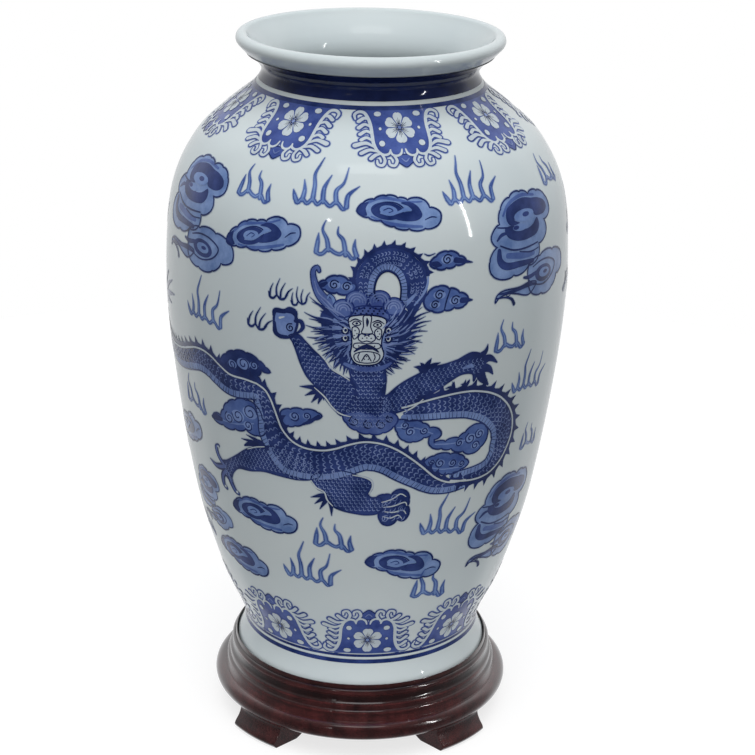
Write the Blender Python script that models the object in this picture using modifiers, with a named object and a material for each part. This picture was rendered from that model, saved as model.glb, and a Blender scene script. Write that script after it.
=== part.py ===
"""Porcelain vase on a turned rosewood stand, in metres with +Z up.

The origin is the centre of the footprint, on the surface that the stand rests on. The vase is one
fired piece. The stand is a moulded ring of four segments, joined with loose tongues and pegged to
four bracket feet, with a round floor panel let into a rebate. The vase's foot sits in the recess
above the panel, and the vase lifts straight out.
"""

import math

import bpy
from mathutils import Vector

# Driving dimensions.
GAP = 0.0003              # clearance between pieces that touch
STAND_HEIGHT = 0.0433     # top of the ring above the resting surface
FOOT_HEIGHT = 0.0140      # underside of the ring above the resting surface
RECESS_RADIUS = 0.0732    # wall of the recess that takes the vase's foot
RECESS_FLOOR = 0.0388     # top of the floor panel
PANEL_THICKNESS = 0.0050
RING_INNER_RADIUS = 0.0640
SEGMENTS = 4
FOOT_COUNT = 4
FOOT_WIDTH = 0.0340       # between the parallel side faces of a foot
FOOT_AZIMUTH = math.radians(45)
TONGUE = Vector((0.0120, 0.0100, 0.0030))    # along the radius, across the joint, thickness
TONGUE_RADIUS = 0.0715
TONGUE_HEIGHT = 0.0265
DOWEL_RADIUS = 0.0030
DOWEL_BELOW = 0.0080      # depth of a dowel in its foot
DOWEL_ABOVE = 0.0070      # depth of a dowel in the ring
DOWEL_OFFSET = 0.0080     # from the middle of a foot
DOWEL_CIRCLE = 0.0705
VASE_BASE = RECESS_FLOOR + GAP
BASE_THICKNESS = 0.0090
FOOT_RIM_WIDTH = 0.0060   # flat ring under the vase that it stands on
FOOT_RIM_DEPTH = 0.0038   # hollow inside that ring

VASE_STEPS = 48
RING_STEPS = 48

# Outer side of the vase: (radius, height above its base), from the foot to the underside of the lip.
VASE_SIDE = [
    (0.0728, 0.0012),
    (0.0722, 0.0044),
    (0.0703, 0.0082),
    (0.0685, 0.0145),
    (0.0686, 0.0205),
    (0.0726, 0.0315),
    (0.0804, 0.0485),
    (0.0887, 0.0735),
    (0.0966, 0.1035),
    (0.1049, 0.1535),
    (0.1105, 0.2035),
    (0.1111, 0.2435),
    (0.1068, 0.2785),
    (0.0945, 0.3035),
    (0.0790, 0.3185),
    (0.0645, 0.3300),
    (0.0585, 0.3385),
    (0.0612, 0.3448),
    (0.0672, 0.3492),
]
LIP_RADIUS = 0.0692       # centre of the rounded lip
LIP_HEIGHT = 0.3562
LIP_ROUND = 0.0034

# Inner side of the vase, from the lip down to the middle of the floor.
VASE_INSIDE = [
    (0.0640, 0.3555),
    (0.0575, 0.3480),
    (0.0535, 0.3390),
    (0.0575, 0.3280),
    (0.0735, 0.3130),
    (0.0890, 0.2990),
    (0.1012, 0.2760),
    (0.1058, 0.2435),
    (0.1052, 0.2035),
    (0.0996, 0.1535),
    (0.0912, 0.1035),
    (0.0830, 0.0735),
    (0.0745, 0.0485),
    (0.0655, 0.0300),
    (0.0560, 0.0170),
    (0.0380, 0.0098),
]

TORUS_RADIUS = 0.0808     # centre of the ring's large round moulding
TORUS_HEIGHT = 0.0183
TORUS_ROUND = 0.0052
BEAD_RADIUS = 0.0740      # centre of the small bead below the collar
BEAD_HEIGHT = 0.0387
BEAD_ROUND = 0.0021


def arc(centre_r, centre_z, radius, start, end, steps):
    """Points of an arc in the (radius, height) plane, between two angles in degrees."""
    angles = [math.radians(start + (end - start) * i / steps) for i in range(steps + 1)]
    return [(centre_r + radius * math.cos(a), centre_z + radius * math.sin(a)) for a in angles]


def smooth(points, per_span):
    """A Catmull-Rom curve through the points, with per_span steps between neighbours."""
    ends = [points[0]] + points + [points[-1]]
    curve = []
    for before, a, b, after in zip(ends, ends[1:], ends[2:], ends[3:]):
        for i in range(per_span):
            t = i / per_span
            curve.append(tuple(
                0.5 * (2 * q + (r - p) * t + (2 * p - 5 * q + 4 * r - s) * t ** 2
                       + (3 * q - p - 3 * r + s) * t ** 3)
                for p, q, r, s in zip(before, a, b, after)
            ))
    return curve + [points[-1]]


def material(name, colour, roughness):
    """A Principled BSDF with a plain colour."""
    made = bpy.data.materials.new(name)
    made.use_nodes = True
    shader = made.node_tree.nodes["Principled BSDF"]
    shader.inputs["Base Color"].default_value = (*colour, 1)
    shader.inputs["Roughness"].default_value = roughness
    return made


def collection(name):
    made = bpy.data.collections.new(name)
    bpy.context.scene.collection.children.link(made)
    return made


def mesh_object(name, vertices, edges, faces, group):
    mesh = bpy.data.meshes.new(name)
    mesh.from_pydata(vertices, edges, faces)
    made = bpy.data.objects.new(name, mesh)
    group.objects.link(made)
    return made


def turned(name, profile, steps, group, closed):
    """A solid turned round Z from a profile of (radius, height) points."""
    vertices = [(r, 0, z) for r, z in profile]
    edges = [(i, i + 1) for i in range(len(profile) - 1)]
    if closed:
        edges.append((len(profile) - 1, 0))
    made = mesh_object(name, vertices, edges, [], group)
    screw = made.modifiers.new("turn", "SCREW")
    screw.axis = "Z"
    screw.steps = steps
    screw.render_steps = steps
    screw.use_merge_vertices = True
    screw.merge_threshold = 0.0001
    screw.use_smooth_shade = True
    return made


def box(name, size, place, turn, group):
    """A box of the given size, turned about Z, with its centre at place."""
    bpy.ops.mesh.primitive_cube_add(size=1)
    made = bpy.context.object
    made.name = name
    made.data.name = name
    for vertex in made.data.vertices:
        vertex.co = Vector(a * b for a, b in zip(vertex.co, size))
    made.location = place
    made.rotation_euler.z = turn
    move_to(made, group)
    return made


def cylinder(name, radius, length, place, steps, group):
    """A vertical cylinder with its centre at place."""
    bpy.ops.mesh.primitive_cylinder_add(vertices=steps, radius=radius, depth=length)
    made = bpy.context.object
    made.name = name
    made.data.name = name
    made.location = place
    move_to(made, group)
    return made


def move_to(made, group):
    for owner in list(made.users_collection):
        owner.objects.unlink(made)
    group.objects.link(made)


def cut(target, cutter, operation="DIFFERENCE"):
    """Adds a Boolean with the cutter, which is left out of the render."""
    cutter.hide_render = True
    cutter.display_type = "WIRE"
    modifier = target.modifiers.new(cutter.name, "BOOLEAN")
    modifier.operation = operation
    modifier.object = cutter


def polar(radius, azimuth, height, along=0.0):
    """The point at a radius and an azimuth, moved sideways along the tangent."""
    out = Vector((math.cos(azimuth), math.sin(azimuth), 0))
    side = Vector((-math.sin(azimuth), math.cos(azimuth), 0))
    return out * radius + side * along + Vector((0, 0, height))


def build_vase(group, glaze, lift):
    """The vase, a hollow turned form with a rounded lip and a foot rim."""
    outside = smooth(VASE_SIDE, 2)
    outside.reverse()
    inside = smooth(VASE_INSIDE, 1)
    inside.reverse()
    foot_radius = VASE_SIDE[0][0]
    rim_inner = foot_radius - FOOT_RIM_WIDTH
    underside = [
        (foot_radius - 0.0012, 0.0),
        (rim_inner, 0.0),
        (rim_inner - 0.0030, FOOT_RIM_DEPTH),
        (0.0, FOOT_RIM_DEPTH),
    ]
    lip = arc(LIP_RADIUS, LIP_HEIGHT, LIP_ROUND, 150, -45, 7)
    profile = [(0.0, BASE_THICKNESS)] + inside + lip + outside + underside
    vase = turned("vase", profile, VASE_STEPS, group, closed=False)
    vase.data.materials.append(glaze)
    vase.parent = lift
    return vase


def ring_profile():
    """Closed outline of the ring's section: down the moulded outer side and back up the inside."""
    ledge = RECESS_FLOOR - PANEL_THICKNESS - GAP
    collar = [(RECESS_RADIUS, STAND_HEIGHT - 0.0004), (0.0736, STAND_HEIGHT), (0.0740, STAND_HEIGHT - 0.0004),
              (0.0744, 0.0405)]
    bead = arc(BEAD_RADIUS, BEAD_HEIGHT, BEAD_ROUND, 75, -55, 5)
    hollow = [(0.0754, 0.0360), (0.0757, 0.0345), (0.0763, 0.0335)]
    steps = [(0.0774, 0.0327), (0.0777, 0.0293), (0.0790, 0.0282), (0.0792, 0.0262)]
    torus = arc(TORUS_RADIUS, TORUS_HEIGHT, TORUS_ROUND, 95, -55, 8)
    return (
        collar + bead + hollow + steps + torus
        + [(0.0805, FOOT_HEIGHT), (RING_INNER_RADIUS, FOOT_HEIGHT)]
        + [(RING_INNER_RADIUS, ledge), (RECESS_RADIUS, ledge)]
    )


def quarter(name, azimuth, group):
    """A box over one quarter turn, from azimuth - 45 to azimuth + 45 degrees, less half the gap."""
    side = 0.12
    reach = GAP / 2 * math.sqrt(2) + side / math.sqrt(2)
    return box(name, (side, side, 0.1), polar(reach, azimuth, 0.03), azimuth + math.pi / 4, group)


def build_ring(group, cutters, wood):
    """Four ring segments, each slotted for a tongue at both ends and bored for the dowels."""
    for i in range(SEGMENTS):
        azimuth = i * math.tau / SEGMENTS
        segment = turned(f"ring_segment_{i + 1}", ring_profile(), RING_STEPS, group, closed=True)
        segment.data.materials.append(wood)
        cut(segment, quarter(f"segment_cutter_{i + 1}", azimuth, cutters), "INTERSECT")
        for end, joint in (("a", azimuth - FOOT_AZIMUTH), ("b", azimuth + FOOT_AZIMUTH)):
            slot = TONGUE + Vector((GAP, GAP, GAP)) * 2
            place = polar(TONGUE_RADIUS, joint, TONGUE_HEIGHT)
            cut(segment, box(f"slot_cutter_{i + 1}{end}", slot, place, joint, cutters))
        for end, joint, side in (("a", azimuth - FOOT_AZIMUTH, 1), ("b", azimuth + FOOT_AZIMUTH, -1)):
            cut(segment, dowel_bore(f"bore_{i + 1}{end}", joint, side, cutters))


def dowel_place(azimuth, side):
    middle = FOOT_HEIGHT + (DOWEL_ABOVE - DOWEL_BELOW) / 2
    return polar(DOWEL_CIRCLE, azimuth, middle, side * DOWEL_OFFSET)


def dowel_bore(name, azimuth, side, cutters):
    """A cutter for the hole that a dowel fills."""
    length = DOWEL_ABOVE + DOWEL_BELOW + 2 * GAP
    return cylinder(name, DOWEL_RADIUS + GAP, length, dowel_place(azimuth, side), 16, cutters)


def foot_profile():
    """Closed outline of a foot's section: an ogee outside and a hollow curve inside."""
    top = FOOT_HEIGHT - GAP
    outside = smooth([(0.0828, top), (0.0822, 0.0112), (0.0836, 0.0078), (0.0862, 0.0045),
                      (0.0868, 0.0026), (0.0855, 0.0006)], 2)
    inside = smooth([(0.0695, 0.0), (0.0650, 0.0022), (0.0620, 0.0060), (0.0606, top)], 2)
    return outside + [(0.0848, 0.0)] + inside


def build_feet(group, cutters, wood, dowel_wood):
    """Four feet under the ring's joints, each with two dowels."""
    for i in range(FOOT_COUNT):
        azimuth = FOOT_AZIMUTH + i * math.tau / FOOT_COUNT
        foot = turned(f"foot_{i + 1}", foot_profile(), RING_STEPS, group, closed=True)
        foot.data.materials.append(wood)
        block = box(f"foot_cutter_{i + 1}", (0.06, FOOT_WIDTH, 0.06), polar(0.085, azimuth, 0.01),
                    azimuth, cutters)
        cut(foot, block, "INTERSECT")
        for letter, side in (("a", 1), ("b", -1)):
            cut(foot, dowel_bore(f"foot_bore_{i + 1}{letter}", azimuth, side, cutters))
            dowel = cylinder(f"dowel_{i + 1}{letter}", DOWEL_RADIUS, DOWEL_ABOVE + DOWEL_BELOW,
                             dowel_place(azimuth, side), 16, group)
            dowel.data.materials.append(dowel_wood)


def build_tongues(group, wood):
    """Loose tongues across the ring's four joints."""
    for i in range(SEGMENTS):
        azimuth = FOOT_AZIMUTH + i * math.tau / SEGMENTS
        place = polar(TONGUE_RADIUS, azimuth, TONGUE_HEIGHT)
        tongue = box(f"joint_tongue_{i + 1}", TONGUE, place, azimuth, group)
        tongue.data.materials.append(wood)


def build_panel(group, wood):
    """The round floor panel, with its edge eased."""
    radius = RECESS_RADIUS - GAP
    bottom = RECESS_FLOOR - PANEL_THICKNESS
    ease = 0.0006
    profile = [
        (0.0, RECESS_FLOOR),
        (radius - ease, RECESS_FLOOR),
        (radius, RECESS_FLOOR - ease),
        (radius, bottom),
        (0.0, bottom),
    ]
    panel = turned("floor_panel", profile, VASE_STEPS, group, closed=False)
    panel.data.materials.append(wood)


def main():
    for old in list(bpy.data.objects):
        bpy.data.objects.remove(old)
    parts = collection("porcelain_vase")
    cutters = collection("cutters")
    glaze = material("white_glaze", (0.62, 0.66, 0.66), 0.12)
    rosewood = material("rosewood", (0.055, 0.016, 0.014), 0.38)
    hidden_wood = material("dowel_wood", (0.30, 0.19, 0.10), 0.60)

    lift = bpy.data.objects.new("vase_lift", None)
    lift.location = (0, 0, VASE_BASE)
    parts.objects.link(lift)

    build_vase(parts, glaze, lift)
    build_ring(parts, cutters, rosewood)
    build_panel(parts, rosewood)
    build_tongues(parts, hidden_wood)
    build_feet(parts, cutters, rosewood, hidden_wood)


main()
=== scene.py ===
"""Looks of the porcelain vase: glazed body, cobalt painting, rosewood stand, studio, camera."""

import math

import bpy
import numpy as np
from mathutils import Matrix, Vector
from mathutils.geometry import delaunay_2d_cdt

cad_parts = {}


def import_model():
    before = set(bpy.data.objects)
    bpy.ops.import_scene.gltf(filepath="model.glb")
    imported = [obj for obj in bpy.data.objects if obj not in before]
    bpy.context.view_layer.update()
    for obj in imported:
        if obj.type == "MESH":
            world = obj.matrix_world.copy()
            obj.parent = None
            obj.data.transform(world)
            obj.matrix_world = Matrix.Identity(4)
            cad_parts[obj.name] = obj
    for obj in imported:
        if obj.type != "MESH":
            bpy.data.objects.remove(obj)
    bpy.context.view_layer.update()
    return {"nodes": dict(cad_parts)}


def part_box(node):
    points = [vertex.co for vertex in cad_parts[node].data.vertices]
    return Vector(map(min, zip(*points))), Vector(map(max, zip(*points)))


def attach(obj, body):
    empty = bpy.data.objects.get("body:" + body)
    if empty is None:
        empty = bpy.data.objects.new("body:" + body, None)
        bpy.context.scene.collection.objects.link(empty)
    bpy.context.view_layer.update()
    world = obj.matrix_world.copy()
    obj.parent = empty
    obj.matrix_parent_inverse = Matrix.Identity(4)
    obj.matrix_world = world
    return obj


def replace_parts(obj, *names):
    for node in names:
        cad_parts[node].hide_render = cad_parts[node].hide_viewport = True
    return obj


MM = 0.001
TURN = 256                 # segments round the vase
MAP_RADIUS = 111.0         # the painting is laid out in mm on a cylinder of this radius
ROUND = math.tau * MAP_RADIUS

# Outer side of the vase: (radius, height above its base) in mm, from foot to lip.
VASE_SIDE = [
    (72.8, 1.2), (72.2, 4.4), (70.3, 8.2), (68.5, 14.5), (68.6, 20.5), (72.6, 31.5), (80.4, 48.5),
    (88.7, 73.5), (96.6, 103.5), (104.9, 153.5), (110.5, 203.5), (111.1, 243.5), (106.8, 278.5),
    (94.5, 303.5), (79.0, 318.5), (64.5, 330.0), (58.5, 338.5), (61.2, 344.8), (67.2, 349.2),
]
VASE_INSIDE = [
    (64.0, 355.5), (57.5, 348.0), (53.5, 339.0), (57.5, 328.0), (73.5, 313.0), (89.0, 299.0),
    (101.2, 276.0), (105.8, 243.5), (105.2, 203.5), (99.6, 153.5), (91.2, 103.5), (83.0, 73.5),
    (74.5, 48.5), (65.5, 30.0), (56.0, 17.0), (38.0, 9.8),
]
LIP = (69.2, 356.2, 3.4)   # centre radius, centre height, radius of the rounding
FOOT_RIM = (6.0, 3.8)      # width and depth of the rim under the foot
BASE_THICKNESS = 9.0

# The stand's mouldings in mm: (centre radius, centre height, radius of the rounding).
BEAD = (74.0, 38.7, 2.1)
TORUS = (80.8, 18.3, 5.2)
FOOT_HALF = 17.0           # half the width of a foot
FOOT_TOP = 13.7
PAINTED_LIGHT_SPAN = 45.0         # mm of height that the table of painted shade and painted highlights covers
PAINTED_LIGHT_BANDS = [                # (height in mm, share of the wood's brightness): painted shade in the hollows, painted highlights on the edges
    (14.0, 1.3), (16.5, 1.0), (20.5, 0.8), (23.0, 1.5), (25.4, 1.4), (26.8, 0.8), (27.6, 0.9),
    (28.0, 1.9), (28.6, 0.9), (31.6, 0.9), (32.4, 1.9), (33.0, 0.7), (34.2, 0.3), (36.2, 0.4),
    (37.6, 1.5), (39.4, 1.1), (40.8, 0.4), (42.4, 0.9),
]
LACQUER = 1.0              # strength of the clear coat on the wood
SEGMENT_GAP = 0.02         # mm left open at each end of a ring segment, beside its glue line
GAP_RADIUS = 78.0          # mean radius of the ring

# Colours, linear.
GLAZE = (0.60, 0.66, 0.67)
WOOD_DARK = (0.015, 0.0032, 0.0034)
WOOD_LIGHT = (0.064, 0.0130, 0.0125)
BARE_WOOD = ((0.20, 0.12, 0.06), (0.36, 0.24, 0.13))
COBALT = {                 # darker and lighter tone of each coat, from the lowest coat to the highest
    "bleed": ((0.36, 0.44, 0.56), (0.43, 0.51, 0.61)),
    "wash": ((0.11, 0.19, 0.41), (0.24, 0.35, 0.61)),
    "ground": ((0.030, 0.055, 0.23), (0.075, 0.120, 0.36)),
    "mid": ((0.045, 0.085, 0.28), (0.10, 0.17, 0.42)),
    "deep": ((0.009, 0.022, 0.105), (0.036, 0.062, 0.22)),
    "tint": ((0.12, 0.19, 0.43), (0.22, 0.32, 0.60)),
    "line": ((0.010, 0.020, 0.090), (0.024, 0.042, 0.165)),
    "mid_top": ((0.045, 0.075, 0.26), (0.11, 0.17, 0.41)),
    "wash_top": ((0.11, 0.19, 0.43), (0.20, 0.31, 0.58)),
    "deep_top": ((0.010, 0.022, 0.12), (0.030, 0.056, 0.23)),
    "pale": ((0.49, 0.56, 0.62), (0.56, 0.63, 0.66)),
    "ink": ((0.005, 0.010, 0.046), (0.013, 0.023, 0.095)),
    "fleck": ((0.075, 0.12, 0.31), (0.24, 0.32, 0.58)),
}
LAYERS = list(COBALT)
COAT = 0.026               # mm between coats
BLEEDING = ("wash", "ground", "mid", "deep", "line")   # coats with a faint blue rim on the white
SEAM = -228.0              # map distance where the painting's texture layout begins
MARGIN = 22.0              # mm that a shape may reach past the seam
BLEED_WIDTH = 0.8          # mm by which the faint rim is wider than its line
GRID = 2.5                 # mm between the inner points of a filled shape
POOLS = 83.2               # scale of the pooled passages in the cobalt

# Layout of the painting in mm of height along the side, and the number of shields round the vase.
NECK_BAND = 358.9          # where the dark band of the neck begins
LINES = ((353.9, 356.5), (14.6, 17.1), (18.7, 20.6))
SHOULDER_LINE, SHOULDER_SHIELDS = 354.6, 8
FOOT_LINE, FOOT_SHIELDS = 20.8, 9

# Camera: lens and sensor in mm, place in metres, angles in degrees.
LENS, SENSOR, LENS_SHIFT = 98.3, 36, 0.0166
CAMERA_PLACE = (0, -1.10, 0.6107)
CAMERA_TILT, CAMERA_ROLL = 69.55, 1.0

# Even lights: strength, width of the source and tilt from overhead towards the front, in degrees.
EVEN_LIGHTS = {"ceiling": (2.3, 55, 20), "front": (1.12, 60, 74)}
# Lamps: place, target and (width, height) in metres, power, and whether they only make highlights.
LAMPS = {
    "softbox": ((0.0, -0.55, 1.55), (0, 0, 0.3), (0.7, 0.30), 0.9, False),
    "strip": ((1.10, -0.70, 0.69), (0, 0, 0.28), (0.032, 0.60), 2.2, True),
    "spot": ((-0.49, -1.20, 0.84), (0, 0, 0.35), (0.05, 0.05), 0.14, True),
}
# Surroundings by direction: from the front (first) to the back (last), between two values of y.
SURROUNDINGS = [
    (0.0, (0.05, 0.05, 0.055)), (0.50, (0.12, 0.125, 0.13)),
    (0.84, (0.36, 0.37, 0.38)), (1.0, (0.80, 0.81, 0.82)),
]
FRONT_Y, BACK_Y = -0.75, 0.55
FLOOR_INNER, FLOOR_OUTER = 0.20, 0.75   # radii in metres: only the inner part gives bounce light
FLOOR_GLOW = 0.74


# ---------------------------------------------------------------- curves

def catmull(points, step, closed=False):
    """A Catmull-Rom curve through points of any dimension, sampled about every step."""
    points = np.asarray(points, float)
    if closed:
        ends = np.vstack([points[-1], points, points[0], points[1]])
    else:
        ends = np.vstack([points[0], points, points[-1]])
    curve = []
    for before, a, b, after in zip(ends, ends[1:], ends[2:], ends[3:]):
        count = max(1, math.ceil(np.hypot(*(b - a)[:2]) / step))
        for t in np.arange(count) / count:
            curve.append(0.5 * (2 * a + (b - before) * t + (2 * before - 5 * a + 4 * b - after) * t ** 2
                                + (3 * a - before - 3 * b + after) * t ** 3))
    if not closed:
        curve.append(points[-1])
    return np.array(curve)


def arc(centre, start, end, steps):
    """Points of a circle of (radius, height, rounding) between two angles in degrees."""
    angles = np.radians(np.linspace(start, end, steps + 1))
    return np.column_stack([centre[0] + centre[2] * np.cos(angles),
                            centre[1] + centre[2] * np.sin(angles)])


def arc_length(path):
    """Distance along the path at each of its points."""
    return np.r_[0, np.cumsum(np.hypot(*np.diff(path, axis=0).T))]


def unit(vectors):
    return vectors / np.maximum(np.hypot(*vectors.T), 1e-9)[:, None]


def with_width(points, width):
    """Rows of (x, s, width) from rows of (x, s)."""
    return np.column_stack([points, np.full(len(points), width)])


# ---------------------------------------------------------------- materials

def new_material(name):
    """A material with its nodes, links and shader."""
    made = bpy.data.materials.new(name)
    made.use_nodes = True
    nodes = made.node_tree.nodes
    return made, nodes, made.node_tree.links, nodes["Principled BSDF"]


def noise(nodes, links, vector, scale, detail=3.0, rough=0.5):
    """A noise texture on the given vector output."""
    made = nodes.new("ShaderNodeTexNoise")
    made.inputs["Scale"].default_value = scale
    made.inputs["Detail"].default_value = detail
    made.inputs["Roughness"].default_value = rough
    links.new(vector, made.inputs["Vector"])
    return made.outputs["Fac"]


def ramp(nodes, links, value, stops):
    """A colour ramp from (position, colour) stops."""
    made = nodes.new("ShaderNodeValToRGB")
    elements = made.color_ramp.elements
    while len(elements) < len(stops):
        elements.new(0.5)
    for element, (place, colour) in zip(elements, stops):
        element.position = place
        element.color = (*colour, 1)
    links.new(value, made.inputs["Fac"])
    return made.outputs["Color"]


def blend(nodes, links, kind, share, a, b):
    """A colour mix. share is a number or a socket, and a and b are sockets or colours."""
    made = nodes.new("ShaderNodeMix")
    made.data_type = "RGBA"
    made.blend_type = kind
    for socket, value in ((made.inputs[0], share), (made.inputs[6], a), (made.inputs[7], b)):
        if isinstance(value, bpy.types.NodeSocket):
            links.new(value, socket)
        elif isinstance(value, tuple):
            socket.default_value = (*value, 1)
        else:
            socket.default_value = value
    return made.outputs[2]


def spread(nodes, links, value, low, high):
    """A value between 0 and 1 moved to the range from low to high."""
    made = nodes.new("ShaderNodeMapRange")
    made.inputs["To Min"].default_value = low
    made.inputs["To Max"].default_value = high
    links.new(value, made.inputs["Value"])
    return made.outputs["Result"]


def bump(nodes, links, shader, height, strength, distance):
    """Fine relief from a height value. The distance is in metres."""
    made = nodes.new("ShaderNodeBump")
    made.inputs["Strength"].default_value = strength
    made.inputs["Distance"].default_value = distance
    links.new(height, made.inputs["Height"])
    links.new(made.outputs["Normal"], shader.inputs["Normal"])


def glaze_finish(nodes, links, shader, vector):
    """The glossy skin that the white ground and the painting share."""
    shader.inputs["IOR"].default_value = 1.5
    ripple = noise(nodes, links, vector, 55.0, 2.0)
    skin = noise(nodes, links, vector, 9.0, 3.0)
    links.new(spread(nodes, links, skin, 0.035, 0.10), shader.inputs["Roughness"])
    bump(nodes, links, shader, ripple, 0.10, 0.0006)


def glaze_material():
    """Bluish white porcelain under a clear glaze, with faint clouding and a few iron specks."""
    made, nodes, links, shader = new_material("white_glaze")
    vector = nodes.new("ShaderNodeTexCoord").outputs["Object"]
    cloud = noise(nodes, links, vector, 14.0, 4.0)
    low = tuple(c * f for c, f in zip(GLAZE, (0.955, 0.97, 0.985)))
    ground = ramp(nodes, links, cloud, [(0.35, low), (0.65, GLAZE)])
    cells = nodes.new("ShaderNodeTexVoronoi")
    cells.inputs["Scale"].default_value = 95.0
    links.new(vector, cells.inputs["Vector"])
    stops = [(0.0, (0.60, 0.60, 0.58)), (0.035, (1.0, 1.0, 1.0))]
    specks = ramp(nodes, links, cells.outputs["Distance"], stops)
    links.new(blend(nodes, links, "MULTIPLY", 0.5, ground, specks), shader.inputs["Base Color"])
    glaze_finish(nodes, links, shader, vector)
    return made


def cobalt_material(name, dark, light):
    """Cobalt painted under the glaze: pooled and thin passages, and fine brush grain."""
    made, nodes, links, shader = new_material("cobalt_" + name)
    vector = nodes.new("ShaderNodeTexCoord").outputs["Object"]
    pools = noise(nodes, links, vector, POOLS, 5.0, 0.55)
    tone = ramp(nodes, links, pools, [(0.34, dark), (0.66, light)])
    grain = noise(nodes, links, vector, 900.0, 2.0)
    flecks = ramp(nodes, links, grain, [(0.3, (0.82, 0.82, 0.86)), (0.7, (1.0, 1.0, 1.0))])
    links.new(blend(nodes, links, "MULTIPLY", 0.6, tone, flecks), shader.inputs["Base Color"])
    glaze_finish(nodes, links, shader, vector)
    return made


def wood_material(name, azimuth, roughness, seed, tones=(WOOD_DARK, WOOD_LIGHT), shade_and_highlights=()):
    """Polished wood, grained along the tangent at an azimuth, with painted shade and painted highlights in
    bands by height.
    """
    dark, light = tones
    made, nodes, links, shader = new_material(name)
    place = nodes.new("ShaderNodeMapping")
    place.inputs["Rotation"].default_value = (0, 0, -azimuth)
    place.inputs["Location"].default_value = (seed, seed * 1.7, seed * 0.6)
    place.inputs["Scale"].default_value = (1.0, 0.09, 1.0)
    links.new(nodes.new("ShaderNodeTexCoord").outputs["Object"], place.inputs["Vector"])
    vector = place.outputs["Vector"]
    figure = noise(nodes, links, vector, 120.0, 6.0, 0.62)
    pores = noise(nodes, links, vector, 900.0, 3.0, 0.6)
    middle = tuple((a + b) / 2 for a, b in zip(dark, light))
    tone = ramp(nodes, links, figure, [(0.30, dark), (0.52, middle), (0.72, light)])
    pits = ramp(nodes, links, pores, [(0.36, (0.45, 0.40, 0.40)), (0.50, (1.0, 1.0, 1.0))])
    tone = blend(nodes, links, "MULTIPLY", 0.7, tone, pits)
    # Painted shade and painted highlights: the wood's colour is darkened in the hollows and lightened on the
    # edges, banded by height.
    if shade_and_highlights:
        axes = nodes.new("ShaderNodeSeparateXYZ")
        links.new(nodes.new("ShaderNodeTexCoord").outputs["Object"], axes.inputs[0])
        height = nodes.new("ShaderNodeMath")
        height.operation = "MULTIPLY"
        height.inputs[1].default_value = 1 / (PAINTED_LIGHT_SPAN * MM)
        links.new(axes.outputs["Z"], height.inputs[0])
        stops = [(z / PAINTED_LIGHT_SPAN, (shade, shade, shade)) for z, shade in shade_and_highlights]
        tone = blend(nodes, links, "MULTIPLY", 1.0, tone, ramp(nodes, links, height.outputs[0], stops))
    links.new(tone, shader.inputs["Base Color"])
    links.new(spread(nodes, links, pores, roughness + 0.10, roughness - 0.06), shader.inputs["Roughness"])
    shader.inputs["Coat Weight"].default_value = LACQUER
    shader.inputs["Coat Roughness"].default_value = 0.10
    shader.inputs["Coat IOR"].default_value = 1.7
    bump(nodes, links, shader, pores, 0.18, 0.0004)
    return made


def floor_material():
    """A pale matt floor that glows faintly, so that it keeps the studio's white."""
    made, nodes, links, shader = new_material("pale_floor")
    vector = nodes.new("ShaderNodeTexCoord").outputs["Object"]
    cloud = noise(nodes, links, vector, 3.0)
    tone = ramp(nodes, links, cloud, [(0.0, (0.29, 0.29, 0.29)), (1.0, (0.31, 0.31, 0.31))])
    links.new(tone, shader.inputs["Base Color"])
    shader.inputs["Emission Color"].default_value = (1.0, 1.0, 1.0, 1.0)
    shader.inputs["Emission Strength"].default_value = FLOOR_GLOW
    shader.inputs["Roughness"].default_value = 0.9
    shader.inputs["Specular IOR Level"].default_value = 0.0
    return made


# ---------------------------------------------------------------- meshes

def mesh_piece(name, points, faces, material, body, normals=None, uv=None):
    """A smooth-shaded mesh piece in metres from points in mm. uv holds one (u, v) for each point."""
    mesh = bpy.data.meshes.new(name)
    mesh.from_pydata([tuple(p) for p in np.asarray(points) * MM], [], faces)
    mesh.validate()
    mesh.polygons.foreach_set("use_smooth", [True] * len(mesh.polygons))
    mesh.materials.append(material)
    if uv is not None:
        layer = mesh.uv_layers.new(name="OFBake")
        corner = np.zeros(len(mesh.loops), int)
        mesh.loops.foreach_get("vertex_index", corner)
        layer.data.foreach_set("uv", np.asarray(uv, float)[corner].ravel())
    if normals is not None:
        mesh.normals_split_custom_set_from_vertices([tuple(n) for n in normals])
    made = bpy.data.objects.new(name, mesh)
    bpy.context.scene.collection.objects.link(made)
    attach(made, body)
    return made


def turned_grid(profile, start, end, steps, closed_turn):
    """Points and quads of a profile of (radius, height) turned from one azimuth to another."""
    angles = np.linspace(start, end, steps + 1)[: steps if closed_turn else steps + 1]
    count = len(angles)
    radius, height = np.asarray(profile).T
    points = np.stack([
        np.outer(np.cos(angles), radius),
        np.outer(np.sin(angles), radius),
        np.tile(height, (count, 1)),
    ], -1).reshape(-1, 3)
    rows = len(profile)
    faces = []
    for i in range(count if closed_turn else count - 1):
        here, there = i * rows, (i + 1) % count * rows
        faces += [(here + j, there + j, there + j + 1, here + j + 1) for j in range(rows - 1)]
    return points, faces


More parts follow.
